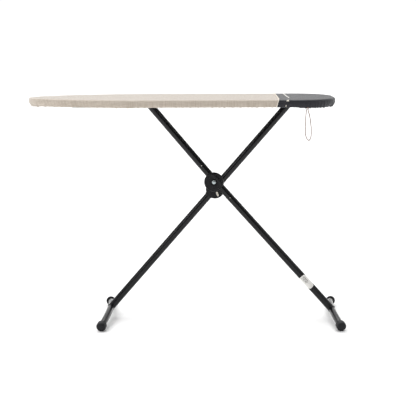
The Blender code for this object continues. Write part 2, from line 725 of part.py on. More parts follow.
def make_hub_front(down):
    """Round front cover with a ridge beside leg A's line, the pivot bolt, its washer and its nut."""
    face_y = LEG_A_Y - LEG_RADIUS - GAP
    front = face_y - COVER_DEPTH
    edge = [(0.0368, 0.0060), (0.0392, 0.0040), (COVER_RADIUS, 0.0015), (COVER_RADIUS, 0.0)]
    start = (0.0300, COVER_DEPTH)
    disc = [start, *edge, (HUB_BORE, 0.0), (HUB_BORE, COVER_DEPTH), start]
    cover = turned("hub_front_cover", disc, facing_out(face_y), BLACK_PLASTIC, LEG_A, steps=32)
    across = Vector((-down.z, 0, down.x))
    middle = Vector((HUB.x, face_y - 0.0005, HUB.z)) + across * RIDGE_OFFSET
    ridge = rod("hub_ridge", RIDGE_RADIUS, middle - down * RIDGE_HALF, middle + down * RIDGE_HALF,
                BLACK_PLASTIC, LEG_A)
    trim = box("hub_ridge_trim", (HUB.x - 0.1, face_y, HUB.z - 0.1),
               (HUB.x + 0.1, face_y + 0.1, HUB.z + 0.1), BLACK_PLASTIC, LEG_A)
    boolean(ridge, trim)
    boolean(cover, ridge, "UNION")
    washer = ring_profile(WASHER_RADIUS, HUB_BORE, 0.0, WASHER_THICK)
    turned("hub_washer", washer, facing_out(front - GAP), ZINC, LEG_A)
    head = [(0.0, 0.0062), (0.0040, 0.0059), (0.0068, 0.0047), (0.0083, 0.0028), (0.0085, 0.0)]
    shank = [(BOLT_RADIUS, 0.0), (BOLT_RADIUS, -BOLT_REACH), (0.0, -BOLT_REACH)]
    turned("hub_bolt", head + shank, facing_out(front - 2 * GAP - WASHER_THICK), ZINC, LEG_A)
    place = Matrix.Translation((HUB.x, NUT_Y, HUB.z)) @ UPRIGHT
    loops = [circle(0, 0, NUT_RADIUS, 6), circle(0, 0, BOLT_RADIUS + GAP)]
    nut = plate("hub_nut", loops, NUT_THICK, place, ZINC, LEG_A)
    nut.data.shade_flat()


def facing_out(y):
    """A placement on the hub's axis at y, with local +Z towards the near side."""
    return along(Vector((HUB.x, y, HUB.z)), Vector((0, -1, 0)), Vector((1, 0, 0)))


def make_rivets():
    """Two rivet heads on leg A, one each side of the hub."""
    back = LEG_A_Y - LEG_RADIUS - GAP
    dome = [(0.0, RIVET_HEIGHT), (0.55 * RIVET_RADIUS, 0.82 * RIVET_HEIGHT)]
    dome += [(0.95 * RIVET_RADIUS, 0.32 * RIVET_HEIGHT), (RIVET_RADIUS, 0.0), (0.0, 0.0)]
    for name, (x, z) in RIVET_PLACES.items():
        place = along(Vector((x, back, z)), Vector((0, -1, 0)), Vector((1, 0, 0)))
        turned(f"leg_a_rivet_{name}", dome, place, ZINC, LEG_A, steps=12)


def make_label(foot_middle, down):
    """Thin film wrapped round the near side of leg A, above its foot."""
    inner = LEG_RADIUS + GAP
    loop = arc(0, 0, inner + LABEL_THICK, -90, 90, 16) + arc(0, 0, inner, 90, -90, 16)
    middle = foot_middle - down * (LABEL_START + LABEL_LENGTH / 2) + Vector((0, LEG_A_Y, 0))
    near = Vector((0, -1, 0))
    turn = Matrix((near, down.cross(near), down)).transposed().to_4x4()
    plate("leg_a_label", [loop], LABEL_LENGTH, Matrix.Translation(middle) @ turn, STICKER, LEG_A)


def make_leg_b():
    """The far leg, hinged to the board and carrying the rear half of the hub."""
    shift = Vector((0, LEG_B_Y, 0))
    foot_middle, down = foot_middle_at(FOOT_B_X, LEG_B_TOP)
    top = LEG_B_TOP - down * 0.006
    tube = hollow_tube("leg_b_tube", [top + shift, foot_middle + shift], LEG_RADIUS, LEG_WALL,
                       BLACK_PAINT, LEG_B)
    cope(tube, "leg_b_cope", foot_middle, down, LEG_B)
    bore(tube, "leg_b_sleeve_cope", SLEEVE_RADIUS + GAP, HINGE, LEG_B)
    make_foot("leg_b", foot_middle, down, LEG_B)
    start = Vector((HINGE.x, SLEEVE_START_Y, HINGE.z))
    place = along(start, Vector((0, 1, 0)), Vector((1, 0, 0)))
    sleeve = ring_profile(SLEEVE_RADIUS, SLEEVE_BORE, 0.0, SLEEVE_LENGTH)
    turned("leg_b_hinge_sleeve", sleeve, place, BLACK_PAINT, LEG_B)
    for name, low in (("near", 0.0), ("far", SLEEVE_LENGTH - HINGE_BUSH_LENGTH)):
        profile = ring_profile(SLEEVE_BORE - GAP, PIN_RADIUS + GAP / 3, low, low + HINGE_BUSH_LENGTH)
        turned(f"hinge_bush_{name}", profile, place, IVORY, LEG_B)
    make_hub_rear(down, shift)


def make_hub_rear(down, shift):
    """Rear housing clamped round leg B, its bush and the ivory glide strip."""
    depth = HOUSING_FAR_Y - HOUSING_NEAR_Y
    place = Matrix.Translation((0, HOUSING_NEAR_Y + depth / 2, 0)) @ UPRIGHT
    lobe = circle(LOBE.x, LOBE.z, LOBE_RADIUS, 32)
    housing = plate("hub_rear_housing", [lobe], depth, place, BLACK_PLASTIC, LEG_B)
    eye = rod("hub_rear_eye", EYE_RADIUS, (HUB.x, HOUSING_NEAR_Y, HUB.z),
              (HUB.x, HOUSING_FAR_Y, HUB.z), BLACK_PLASTIC, LEG_B, sides=28)
    boolean(housing, eye, "UNION")
    start, end = on_leg_b(LOBE + shift, down, -0.1), on_leg_b(LOBE + shift, down, 0.1)
    boolean(housing, rod("hub_tube_bore", LEG_RADIUS + GAP, start, end, BLACK_PLASTIC, LEG_B, sides=24))
    bore(housing, "hub_bush_bore", HUB_BUSH_RADIUS + GAP, HUB, LEG_B)
    place = along(Vector((HUB.x, HOUSING_NEAR_Y, HUB.z)), Vector((0, 1, 0)), Vector((1, 0, 0)))
    bush = ring_profile(HUB_BUSH_RADIUS, BOLT_RADIUS + 0.0002, 0.0, depth)
    turned("hub_bush", bush, place, IVORY, LEG_B)
    angle = math.radians(STRIP_ANGLE)
    run = Vector((math.cos(angle), math.sin(angle))) * STRIP_HALF
    middle = Vector((STRIP_MIDDLE.x, STRIP_MIDDLE.z))
    cut = stadium(middle - run, middle + run, STRIP_RADIUS + GAP, 4)
    place = Matrix.Translation((0, HOUSING_NEAR_Y + 0.0002, 0)) @ UPRIGHT
    boolean(housing, plate("strip_pocket", [cut], 0.0040, place, BLACK_PLASTIC, LEG_B))
    strip = stadium(middle - run, middle + run, STRIP_RADIUS, 4)
    place = Matrix.Translation((0, HOUSING_NEAR_Y + 0.0010, 0)) @ UPRIGHT
    plate("hub_glide_strip", [strip], STRIP_THICK, place, IVORY, LEG_B)


def on_leg_b(near, down, reach):
    """A point on leg B's axis, counted from the point of the axis closest to near."""
    origin = LEG_B_TOP + Vector((0, LEG_B_Y, 0))
    closest = origin + down * (near - origin).dot(down)
    return closest + down * reach


def make_cord():
    """The drawcord's hanging loop and the cord lock at the hem."""
    edge = 0.0008
    lock = [(0.0, LOCK_TOP), (LOCK_RADIUS - edge, LOCK_TOP), (LOCK_RADIUS, LOCK_TOP - edge)]
    lock += [(LOCK_RADIUS, LOCK_BASE + edge), (LOCK_RADIUS - edge, LOCK_BASE), (0.0, LOCK_BASE)]
    turned("cord_lock", lock, Matrix.Translation(LOCK_MIDDLE), CORD, BOARD, steps=16)
    wire("drawcord_loop", smooth_route(LOOP_ROUTE, 3), CORD_RADIUS, CORD, BOARD)


def smooth_route(points, per_span):
    """Points read from a smooth curve through the route's own points."""
    places = [Vector(point) for point in points]
    padded = [2 * places[0] - places[1], *places, 2 * places[-1] - places[-2]]
    made = []
    for i in range(1, len(padded) - 2):
        before, start, end, after = padded[i - 1 : i + 3]
        for step in range(per_span):
            t = step / per_span
            made.append(
                0.5 * (2 * start + (end - before) * t
                       + (2 * before - 5 * start + 4 * end - after) * t**2
                       + (3 * start - before - 3 * end + after) * t**3)
            )
    made.append(places[-1])
    return made


make_board()
make_braces()
make_rack()
make_hinge()
make_lever()
make_lock_bar()
make_leg_a()
make_leg_b()
make_cord()
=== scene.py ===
"""Looks of the folding ironing board: cloth cover and pad, wire mesh, painted tube frame and moulded hub.

Metres, +Z up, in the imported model's frame. The nose points to -X and the square tail to +X.
"""

import math
import random

import bmesh
import bpy
from mathutils import Matrix, Vector, noise
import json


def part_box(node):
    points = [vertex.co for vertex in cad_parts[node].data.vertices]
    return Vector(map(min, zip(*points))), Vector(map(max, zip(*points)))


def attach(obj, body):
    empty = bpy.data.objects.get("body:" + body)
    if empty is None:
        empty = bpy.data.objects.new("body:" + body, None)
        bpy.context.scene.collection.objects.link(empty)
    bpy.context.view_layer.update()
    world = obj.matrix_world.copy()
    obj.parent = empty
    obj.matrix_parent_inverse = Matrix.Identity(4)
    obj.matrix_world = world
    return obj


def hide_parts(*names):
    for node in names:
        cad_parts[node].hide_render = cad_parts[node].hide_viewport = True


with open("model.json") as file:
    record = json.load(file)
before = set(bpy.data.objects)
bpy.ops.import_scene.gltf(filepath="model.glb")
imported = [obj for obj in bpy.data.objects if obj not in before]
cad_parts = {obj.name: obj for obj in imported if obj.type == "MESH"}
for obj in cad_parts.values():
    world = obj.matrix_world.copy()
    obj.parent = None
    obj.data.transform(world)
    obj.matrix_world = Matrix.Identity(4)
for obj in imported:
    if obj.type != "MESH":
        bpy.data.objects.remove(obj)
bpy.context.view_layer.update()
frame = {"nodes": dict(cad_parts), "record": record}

MM = 0.001


# ---------------------------------------------------------------- camera and the free cord

LENS = 84.35  # mm, on a sensor 36 mm wide
CAMERA_PLACE = (0.1172, -3.9668, 1.2108)
CAMERA_TURN = (0.1846, -0.0082, -0.0040)  # pitch down, yaw and roll, in radians


def make_camera():
    """Long lens in front of the near side, a little above the board."""
    data = bpy.data.cameras.new("camera")
    data.sensor_width = 36.0
    data.lens = LENS
    data.clip_end = 60.0
    camera = bpy.data.objects.new("camera", data)
    bpy.context.scene.collection.objects.link(camera)
    pitch, yaw, roll = CAMERA_TURN
    camera.location = CAMERA_PLACE
    look = Vector((math.sin(yaw) * math.cos(pitch), math.cos(yaw) * math.cos(pitch), -math.sin(pitch)))
    level = Vector((math.cos(yaw), -math.sin(yaw), 0.0))
    rise = level.cross(look)
    right = math.cos(roll) * level + math.sin(roll) * rise
    up = math.cos(roll) * rise - math.sin(roll) * level
    turn = Matrix((right, up, -look)).transposed()
    camera.rotation_mode = "QUATERNION"
    camera.rotation_quaternion = turn.to_quaternion()
    bpy.context.scene.camera = camera


# The cord is drawn 0.5 mm thicker than the part's 2.8 mm, so that its strands can be seen
CORD_DIAMETER = 0.0033
# The drawcord's hanging loop, out of the knot at the hem, down, round and back up into it
LOOP_ROUTE = [
    (0.4714, -0.1840, 0.8939),
    (0.4700, -0.1841, 0.8892),
    (0.4682, -0.1842, 0.8805),
    (0.4668, -0.1845, 0.8631),
    (0.4660, -0.1848, 0.8419),
    (0.4657, -0.1849, 0.8207),
    (0.4659, -0.1850, 0.8033),
    (0.4668, -0.1850, 0.7927),
    (0.4700, -0.1850, 0.7830),
    (0.4748, -0.1850, 0.7749),
    (0.4800, -0.1850, 0.7716),
    (0.4845, -0.1850, 0.7758),
    (0.4880, -0.1850, 0.7869),
    (0.4889, -0.1849, 0.8033),
    (0.4878, -0.1848, 0.8245),
    (0.4850, -0.1846, 0.8477),
    (0.4806, -0.1843, 0.8708),
    (0.4766, -0.1841, 0.8853),
    (0.4750, -0.1840, 0.8939),
]

# The board's outline, the same as the frame's
HALF_WIDTH = 0.19
NOSE_X = -0.6422
TAIL_X = 0.5978
NOSE_RUN = 0.43
NOSE_POWER = 1.45
TAIL_CORNER = 0.155
SEAM_X = 0.362
STRIPE_X = 0.4029  # middle of the light stripe on the heat zone
TABLE_TOP = 0.9295
SKIRT_BOTTOM = 0.900


# ---------------------------------------------------------------- materials

def linear(code):
    """An sRGB hex colour as linear red, green, blue, alpha."""
    parts = [int(code[i : i + 2], 16) / 255 for i in (1, 3, 5)]
    return (*[c / 12.92 if c <= 0.04045 else ((c + 0.055) / 1.055) ** 2.4 for c in parts], 1.0)


def node(tree, kind, settings=None, **inputs):
    """Adds a node. settings are its properties; inputs are values, or sockets to link, by socket name."""
    made = tree.nodes.new(kind)
    for key, value in (settings or {}).items():
        setattr(made, key, value)
    for key, value in inputs.items():
        place = int(key[1:]) if key[0] == "i" and key[1:].isdigit() else key.replace("_", " ")
        target = made.inputs[place]
        if isinstance(value, bpy.types.NodeSocket):
            tree.links.new(value, target)
        else:
            target.default_value = value
    return made


def new_material(name, **uniform):
    """A Principled material whose even values are set on the shader's own sockets."""
    made = bpy.data.materials.new(name)
    made.use_nodes = True
    tree = made.node_tree
    shader = tree.nodes["Principled BSDF"]
    for key, value in uniform.items():
        shader.inputs[key.replace("_", " ")].default_value = value
    return made, tree, shader


def ramp(tree, factor, stops):
    """A colour ramp through (position, hex colour) stops."""
    made = node(tree, "ShaderNodeValToRGB", Fac=factor)
    band = made.color_ramp
    while len(band.elements) < len(stops):
        band.elements.new(0.5)
    for element, (place, code) in zip(band.elements, stops):
        element.position = place
        element.color = linear(code)
    return made.outputs["Color"]


def bump(tree, shader, height, strength, distance):
    """Raises the surface by a height socket; distance is the real relief, in metres."""
    lift = node(tree, "ShaderNodeBump", Height=height, Strength=strength, Distance=distance)
    tree.links.new(lift.outputs[0], shader.inputs["Normal"])


def tint(tree, shader, factor, first, last):
    """Base colour between two (position, hex colour) stops."""
    tree.links.new(ramp(tree, factor, (first, last)), shader.inputs["Base Color"])


def vary_roughness(tree, shader, factor, low, high):
    rough = node(tree, "ShaderNodeMapRange", Value=factor, To_Min=low, To_Max=high)
    tree.links.new(rough.outputs[0], shader.inputs["Roughness"])


def maths(tree, operation, *values):
    """The result of a maths node on numbers or sockets."""
    inputs = {f"i{i}": value for i, value in enumerate(values)}
    return node(tree, "ShaderNodeMath", {"operation": operation}, **inputs).outputs[0]


def part_place(tree):
    """The socket of the part's own coordinates."""
    return node(tree, "ShaderNodeTexCoord").outputs["Object"]


def woven(tree, shader, thread, warp, weft, slub, relief, roughness):
    """Plain weave on the cloth's own UV, in metres: two sets of threads that pass over each other."""
    place = node(tree, "ShaderNodeTexCoord").outputs["UV"]
    wander = node(tree, "ShaderNodeTexNoise", Vector=place, Scale=1 / (14 * thread), Detail=2.0)
    shake = node(tree, "ShaderNodeVectorMath", {"operation": "MULTIPLY_ADD"}, i0=wander.outputs["Color"],
                 i1=(0.5 * thread, 0.5 * thread, 0.0), i2=place)
    turns = node(tree, "ShaderNodeVectorMath", {"operation": "SCALE"}, i0=shake.outputs[0],
                 Scale=math.pi / thread)
    split = node(tree, "ShaderNodeSeparateXYZ", Vector=turns.outputs[0])
    across = maths(tree, "SINE", split.outputs["X"])
    along = maths(tree, "SINE", split.outputs["Y"])
    over = maths(tree, "MULTIPLY", across, along)
    share = maths(tree, "MULTIPLY_ADD", over, 0.5, 0.5)
    stretched = node(tree, "ShaderNodeVectorMath", {"operation": "MULTIPLY"}, i0=place, i1=(1.0, 0.06, 1.0))
    thick = node(tree, "ShaderNodeTexNoise", Vector=stretched.outputs[0], Scale=1 / (2.5 * thread),
                 Detail=3.0)
    crossed = node(tree, "ShaderNodeVectorMath", {"operation": "MULTIPLY"}, i0=place, i1=(0.06, 1.0, 1.0))
    thin = node(tree, "ShaderNodeTexNoise", Vector=crossed.outputs[0], Scale=1 / (2.5 * thread), Detail=3.0)
    yarn = node(tree, "ShaderNodeMix", {"data_type": "RGBA"}, Factor=share)
    tree.links.new(ramp(tree, thick.outputs["Fac"], ((0.32, slub), (0.58, warp))), yarn.inputs[6])
    tree.links.new(ramp(tree, thin.outputs["Fac"], ((0.32, slub), (0.58, weft))), yarn.inputs[7])
    tree.links.new(yarn.outputs[2], shader.inputs["Base Color"])
    square = maths(tree, "MULTIPLY", over, over)
    height = maths(tree, "ADD", square, thick.outputs["Fac"])
    bump(tree, shader, height, relief, 0.3 * thread)
    shader.inputs["Roughness"].default_value = roughness


def linen_cloth():
    """Undyed linen and cotton, plain woven: cream and sand threads mixed, dry and matt, with thick slubs."""
    made, tree, shader = new_material("linen_cotton_plain_weave", Sheen_Weight=0.75, Sheen_Roughness=0.4,
                                      Specular_IOR_Level=0.3)
    # Threads are 0.6 mm apart on the real cloth, drawn at 1.5 mm so that they show
    woven(tree, shader, 1.5 * MM, "#C9BFB3", "#BFB4A7", "#A89B8C", 0.5, 0.9)
    return made


def charcoal_cloth():
    """Heat-resistant coated twill, charcoal: finer and smoother than the linen, with a low grazing shine."""
    made, tree, shader = new_material("coated_charcoal_weave", Specular_IOR_Level=0.25, Sheen_Weight=0.22,
                                      Sheen_Roughness=0.35)
    woven(tree, shader, 1.2 * MM, "#2C2C32", "#27272C", "#222226", 0.4, 0.50)
    return made


def piping_cloth():
    """Bias-cut cotton tape, cream, turned over the seam."""
    made, tree, shader = new_material("cotton_bias_tape", Sheen_Weight=0.2)
    woven(tree, shader, 0.8 * MM, "#F2ECDF", "#EBE4D7", "#DDD4C5", 0.4, 0.85)
    return made


def grey_tape():
    """Narrow woven polyester tape, light grey, with a slight shine along its threads."""
    made, tree, shader = new_material("woven_polyester_tape", Sheen_Weight=0.1)
    woven(tree, shader, 0.8 * MM, "#CFCCC6", "#C4C1BB", "#B3B0AA", 0.4, 0.6)
    return made


def braided_cord():
    """Cotton drawcord, braided: pale pinkish sand, with the braid's slanted strands."""
    made, tree, shader = new_material("braided_cotton_cord", Sheen_Weight=0.3, Roughness=0.85)
    place = part_place(tree)
    strands = node(tree, "ShaderNodeTexWave", {"bands_direction": "DIAGONAL"}, Vector=place, Scale=260.0,
                   Distortion=1.5)
    tint(tree, shader, strands.outputs["Fac"], (0.2, "#6F544B"), (0.7, "#9A7D70"))
    bump(tree, shader, strands.outputs["Fac"], 0.6, 0.3 * MM)
    return made


def gloss_black_paint():
    """Powder-coated steel, glossy black: a soft orange peel breaks up the reflections."""
    made, tree, shader = new_material("gloss_black_powder_coat", Roughness=0.2, Specular_IOR_Level=0.28)
    place = part_place(tree)
    peel = node(tree, "ShaderNodeTexNoise", Vector=place, Scale=1 / (2.2 * MM), Detail=1.0)
    dust = node(tree, "ShaderNodeTexNoise", Vector=place, Scale=1 / (60 * MM), Detail=4.0)
    tint(tree, shader, dust.outputs["Fac"], (0.35, "#0C0C0E"), (0.7, "#131316"))
    bump(tree, shader, peel.outputs["Fac"], 0.12, 0.08 * MM)
    return made


def grained_plastic(name, dark, light, grain, roughness, relief):
    """Injection-moulded plastic with a spark-eroded grain."""
    made, tree, shader = new_material(name, Specular_IOR_Level=0.2)
    place = part_place(tree)
    spark = node(tree, "ShaderNodeTexNoise", Vector=place, Scale=1 / grain, Detail=3.0, Roughness=0.65)
    tint(tree, shader, spark.outputs["Fac"], (0.35, dark), (0.68, light))
    vary_roughness(tree, shader, spark.outputs["Fac"], roughness - 0.08, roughness + 0.10)
    bump(tree, shader, spark.outputs["Fac"], relief, 0.25 * MM)
    return made


def zinc_steel(name, dark, light, smooth, dull):
    """Zinc-plated steel: silver with faint clouding, from smooth to dull."""
    made, tree, shader = new_material(name, Metallic=1.0)
    place = part_place(tree)
    cloud = node(tree, "ShaderNodeTexNoise", Vector=place, Scale=1 / (7 * MM), Detail=4.0)
    tint(tree, shader, cloud.outputs["Fac"], (0.3, dark), (0.7, light))
    vary_roughness(tree, shader, cloud.outputs["Fac"], smooth, dull)
    return made


def galvanised_steel():
    """Expanded steel sheet, hot-dip galvanised: dull grey with a pale spangle."""
    made, tree, shader = new_material("galvanised_expanded_steel", Metallic=1.0)
    place = part_place(tree)
    spangle = node(tree, "ShaderNodeTexVoronoi", Vector=place, Scale=1 / (8 * MM))
    tint(tree, shader, spangle.outputs["Distance"], (0.1, "#8C9093"), (0.8, "#B5B9BB"))
    vary_roughness(tree, shader, spangle.outputs["Distance"], 0.38, 0.55)
    return made


def satin_nylon():
    """Natural nylon, moulded: warm ivory with a satin skin and slight translucence."""
    made, tree, shader = new_material("natural_nylon", Roughness=0.42, Subsurface_Weight=0.1)
    place = part_place(tree)
    cloud = node(tree, "ShaderNodeTexNoise", Vector=place, Scale=1 / (5 * MM))
    tint(tree, shader, cloud.outputs["Fac"], (0.3, "#E0D5C6"), (0.7, "#EEE6DA"))
    return made


def foam():
    """Needled polyester felt over foam, off-white: short loose fibres."""
    made, tree, shader = new_material("needled_polyester_felt", Roughness=0.95, Sheen_Weight=0.4)
    place = part_place(tree)
    fibres = node(tree, "ShaderNodeTexNoise", Vector=place, Scale=1 / (3 * MM), Detail=6.0, Distortion=2.0)
    tint(tree, shader, fibres.outputs["Fac"], (0.3, "#CFCAC0"), (0.7, "#EAE6DD"))
    bump(tree, shader, fibres.outputs["Fac"], 0.7, 0.6 * MM)
    return made


def label_film():
    """Satin polyester film, off-white, with plain grey bars in place of print."""
    made, tree, shader = new_material("satin_label_film", Roughness=0.4)
    place = node(tree, "ShaderNodeTexCoord").outputs["UV"]
    split = node(tree, "ShaderNodeSeparateXYZ", Vector=place)
    rows = node(tree, "ShaderNodeTexBrick", {"offset": 0.35}, Vector=place, Scale=1.0, Mortar_Size=1.3 * MM,
                Brick_Width=13 * MM, Row_Height=4.6 * MM)
    rows.inputs["Color1"].default_value = linear("#4A4A48")
    rows.inputs["Color2"].default_value = linear("#6E6E6B")
    rows.inputs["Mortar"].default_value = linear("#E9E7E3")
    edges = []
    for axis, first, last in (("X", 6 * MM, 36 * MM), ("Y", -9 * MM, 7 * MM)):
        middle, half = (first + last) / 2, (last - first) / 2
        off = maths(tree, "SUBTRACT", split.outputs[axis], middle)
        size = maths(tree, "ABSOLUTE", off)
        edges.append(maths(tree, "LESS_THAN", size, half))
    inside = maths(tree, "MULTIPLY", *edges)
    mixed = node(tree, "ShaderNodeMix", {"data_type": "RGBA"}, Factor=inside)
    mixed.inputs[6].default_value = linear("#E9E7E3")
    tree.links.new(rows.outputs["Color"], mixed.inputs[7])
    tree.links.new(mixed.outputs[2], shader.inputs["Base Color"])
    return made


LINEN = linen_cloth()
CHARCOAL = charcoal_cloth()
PIPING = piping_cloth()
TAPE = grey_tape()
CORD = braided_cord()
BLACK_PAINT = gloss_black_paint()
# ABS mouldings: near black, with a 0.8 mm grain drawn coarse enough to catch the light
BLACK_PLASTIC = grained_plastic("grained_black_abs", "#101012", "#1D1D20", 0.8 * MM, 0.42, 0.25)
# Soft vinyl caps, rougher and a little greyer, with a leathery grain about 1.5 mm across
FOOT_VINYL = grained_plastic("grained_foot_vinyl", "#111113", "#2C2C30", 1.5 * MM, 0.48, 0.6)
# Bright plating with a bluish passivate on the bolt and the fittings under the board
ZINC = zinc_steel("zinc_plated_steel", "#98A3A6", "#C2CBCC", 0.28, 0.45)
# The rivets are older stock: warm grey and almost matt
DULL_STEEL = zinc_steel("dull_steel_rivet", "#A39E98", "#C8C3BC", 0.42, 0.6)
GALVANISED = galvanised_steel()
NYLON = satin_nylon()
FELT = foam()
LABEL = label_film()

SLOT_MATERIALS = {
    "linen_cover": LINEN, "heat_zone_fabric": CHARCOAL, "foam_pad": FELT, "galvanised_mesh": GALVANISED,
    "black_gloss_paint": BLACK_PAINT, "black_plastic": BLACK_PLASTIC, "foot_rubber": FOOT_VINYL,
    "zinc_plate": ZINC, "ivory_nylon": NYLON, "drawcord": CORD, "label_film": LABEL,
}


def dress_cad_nodes():
    """Each carried-over part takes its finish, welded corners and smooth round faces."""
    slots = {p["node"]: p["material_slot"] for p in frame["record"]["subparts"]}
    for name, obj in frame["nodes"].items():
        obj.data.materials.clear()
        finish = DULL_STEEL if "rivet" in name else SLOT_MATERIALS[slots[name]]
        obj.data.materials.append(finish)
        if obj.data.has_custom_normals:
            obj.data.attributes.remove(obj.data.attributes["custom_normal"])
        obj.data.shade_smooth()
        weld = obj.modifiers.new("weld", "WELD")
        weld.merge_threshold = 0.01 * MM
        edge = obj.modifiers.new("edge", "BEVEL")
        edge.width = 0.25 * MM
        edge.segments = 2
        edge.limit_method = "ANGLE"
        edge.angle_limit = math.radians(50)
        edge.harden_normals = True


# ---------------------------------------------------------------- mesh helpers

def piece(name, data, body, material, replaced=()):
    """Links a mesh or curve as a piece that rides on a body and stands for its CAD nodes."""
    made = bpy.data.objects.new(name, data)
    bpy.context.scene.collection.objects.link(made)
    made.data.materials.append(material)
    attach(made, body)
    if replaced:
        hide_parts(*replaced)
    return made


def grid_mesh(name, rows, closed_rows=False, closed_columns=False, uv=None):
    """A mesh through rows of points; uv gives (u, v) for (row, column)."""
    data = bpy.data.meshes.new(name)
    height, width = len(rows), len(rows[0])
    points = [p for row in rows for p in row]
    faces, corners = [], []
    for r in range(height if closed_columns else height - 1):
        for c in range(width if closed_rows else width - 1):
            cell = [(r, c), (r, c + 1), (r + 1, c + 1), (r + 1, c)]
            faces.append([(i % height) * width + j % width for i, j in cell])
            corners += cell
    data.from_pydata(points, [], faces)
    if uv:
        layer = data.uv_layers.new(name="cloth")
        for loop, (i, j) in zip(layer.data, corners):
            loop.uv = uv(i, j)
    data.shade_smooth()
    return data


def mend(data, merge=0.0):
    """Merges corners closer than merge and turns every face outwards."""
    mended = bmesh.new()
    mended.from_mesh(data)
    if merge:
        bmesh.ops.remove_doubles(mended, verts=mended.verts, dist=merge)
    bmesh.ops.recalc_face_normals(mended, faces=mended.faces)
    mended.to_mesh(data)
    mended.free()


def ring(place, first, second, radius, sides):
    """Points round place, in the plane of two unit vectors."""
    turns = [2 * math.pi * k / sides for k in range(sides)]
    return [place + (first * math.cos(t) + second * math.sin(t)) * radius for t in turns]


def frame_along(direction, across):
    """Unit vectors (first, second, third) with third along direction and second close to across."""
    third = direction.normalized()
    first = across.cross(third).normalized()
    return first, third.cross(first), third


# ---------------------------------------------------------------- the board's outline

def half_width_at(x):
    """Half the board's width at x, from the nose to the rounded tail corners."""
    if x <= NOSE_X or x >= TAIL_X:
        return 0.0
    if x < NOSE_X + NOSE_RUN:
        share = (x - NOSE_X) / NOSE_RUN
        return HALF_WIDTH * math.sqrt(1 - (1 - share) ** NOSE_POWER)
    into = x - (TAIL_X - TAIL_CORNER)
    if into > 0:
        return HALF_WIDTH - TAIL_CORNER + math.sqrt(max(TAIL_CORNER**2 - into**2, 0.0))
    return HALF_WIDTH


def fine_outline():
    """The whole outline as close points, counter-clockwise seen from above, from the tail's middle."""
    upper = []
    for i in range(120):
        upper.append((TAIL_X, (HALF_WIDTH - TAIL_CORNER) * i / 120))
    for i in range(400):
        turn = math.pi / 2 * i / 400
        upper.append((TAIL_X - TAIL_CORNER + TAIL_CORNER * math.cos(turn),
                      HALF_WIDTH - TAIL_CORNER + TAIL_CORNER * math.sin(turn)))
    start, end = TAIL_X - TAIL_CORNER, NOSE_X + NOSE_RUN
    for i in range(400):
        upper.append((start + (end - start) * i / 400, HALF_WIDTH))
    for i in range(1200):
        share = (1 - i / 1200) ** 2
        upper.append((NOSE_X + NOSE_RUN * share, HALF_WIDTH * math.sqrt(1 - (1 - share) ** NOSE_POWER)))
    lower = [(x, -y) for x, y in reversed(upper)]
    return upper + [(NOSE_X, 0.0)] + lower[:-1]


class Rim:
    """The outline by arc length: a point, its outward direction and how sharply it turns."""

    def __init__(self):
        points = fine_outline()
        self.points = points + [points[0]]
        self.reach = [0.0]
        for a, b in zip(self.points, self.points[1:]):
            self.reach.append(self.reach[-1] + math.dist(a, b))
        self.length = self.reach[-1]

    def at(self, s):
        """(x, y, outward x, outward y) at arc length s."""
        s %= self.length
        low, high = 0, len(self.reach) - 1
        while high - low > 1:
            middle = (low + high) // 2
            if self.reach[middle] <= s:
                low = middle
            else:
                high = middle
        share = (s - self.reach[low]) / max(self.reach[high] - self.reach[low], 1e-9)
        a, b = self.points[low], self.points[high]
        before = self.points[low - 3 if low >= 3 else low - 4]
        after = self.points[(high + 3) % (len(self.points) - 1)]
        run = Vector((after[0] - before[0], after[1] - before[1])).normalized()
        return a[0] + (b[0] - a[0]) * share, a[1] + (b[1] - a[1]) * share, run.y, -run.x


RIM = Rim()


# ---------------------------------------------------------------- cover, pad and their trimmings

class Gathers:
    """Folds pulled into the hem by the drawcord: shallow and sparse on straights, deep and close on bends."""

    def __init__(self, seed):
        draw = random.Random(seed)
        self.folds = []
        s = 0.0
        while s < RIM.length:
            bend = self.bend(s)
            s += (24 - 14 * bend) * MM * draw.uniform(0.6, 1.5)
            depth = (2.6 + 2.4 * bend) * MM * draw.uniform(0.2, 1.0)
            width = (2.9 - 0.2 * bend) * MM * draw.uniform(0.7, 1.4)
            self.folds.append((s, depth, width, draw.uniform(-4, 4) * MM))

    @staticmethod
    def bend(s):
        """0 on a straight stretch, 1 on a tight curve."""
        a, b = RIM.at(s - 0.02), RIM.at(s + 0.02)
        turned = abs(a[2] * b[3] - a[3] * b[2])
        return min(1.0, turned / 0.22)

    def height(self, s, down):
        """How far the cloth stands out at arc length s; down is 0 at the top edge and 1 at the hem."""
        total = 0.0
        for place, depth, width, lean in self.folds:
            off = (s - place - lean * (1 - down) + RIM.length / 2) % RIM.length - RIM.length / 2
            if abs(off) < 4 * width:
                total += depth * math.exp(-((off / width) ** 2))
        return total - 0.5 * MM


GATHERS = Gathers(11)
EDGE_DROP = 6.5 * MM  # round of the top edge, downwards
EDGE_RUN = 9.0 * MM  # and inwards
HEM_TURN = 3.0 * MM
WIDEST_Z = 0.9155  # below it the skirt wraps in under the rim tube
SKIRT_POINTS = 19  # points of a section from the edge down to the hem
# The drawcord's tunnel inside the hem
TUNNEL_INSET = 17.0 * MM
TUNNEL_Z = SKIRT_BOTTOM + 2.9 * MM
TUNNEL_RADIUS = 2.5 * MM


def seam_shift(y, z):
    """The seam's place against SEAM_X: it curves over the near edge and slants back down the near skirt."""
    across = (y + HALF_WIDTH) / (2 * HALF_WIDTH)
    below = max(0.0, (TABLE_TOP - 3 * MM - z) / (TABLE_TOP - SKIRT_BOTTOM))
    return -1.4 * MM + 5.6 * MM * (1 - math.exp(-across / 0.13)) - 9 * MM * below * (1 - across)


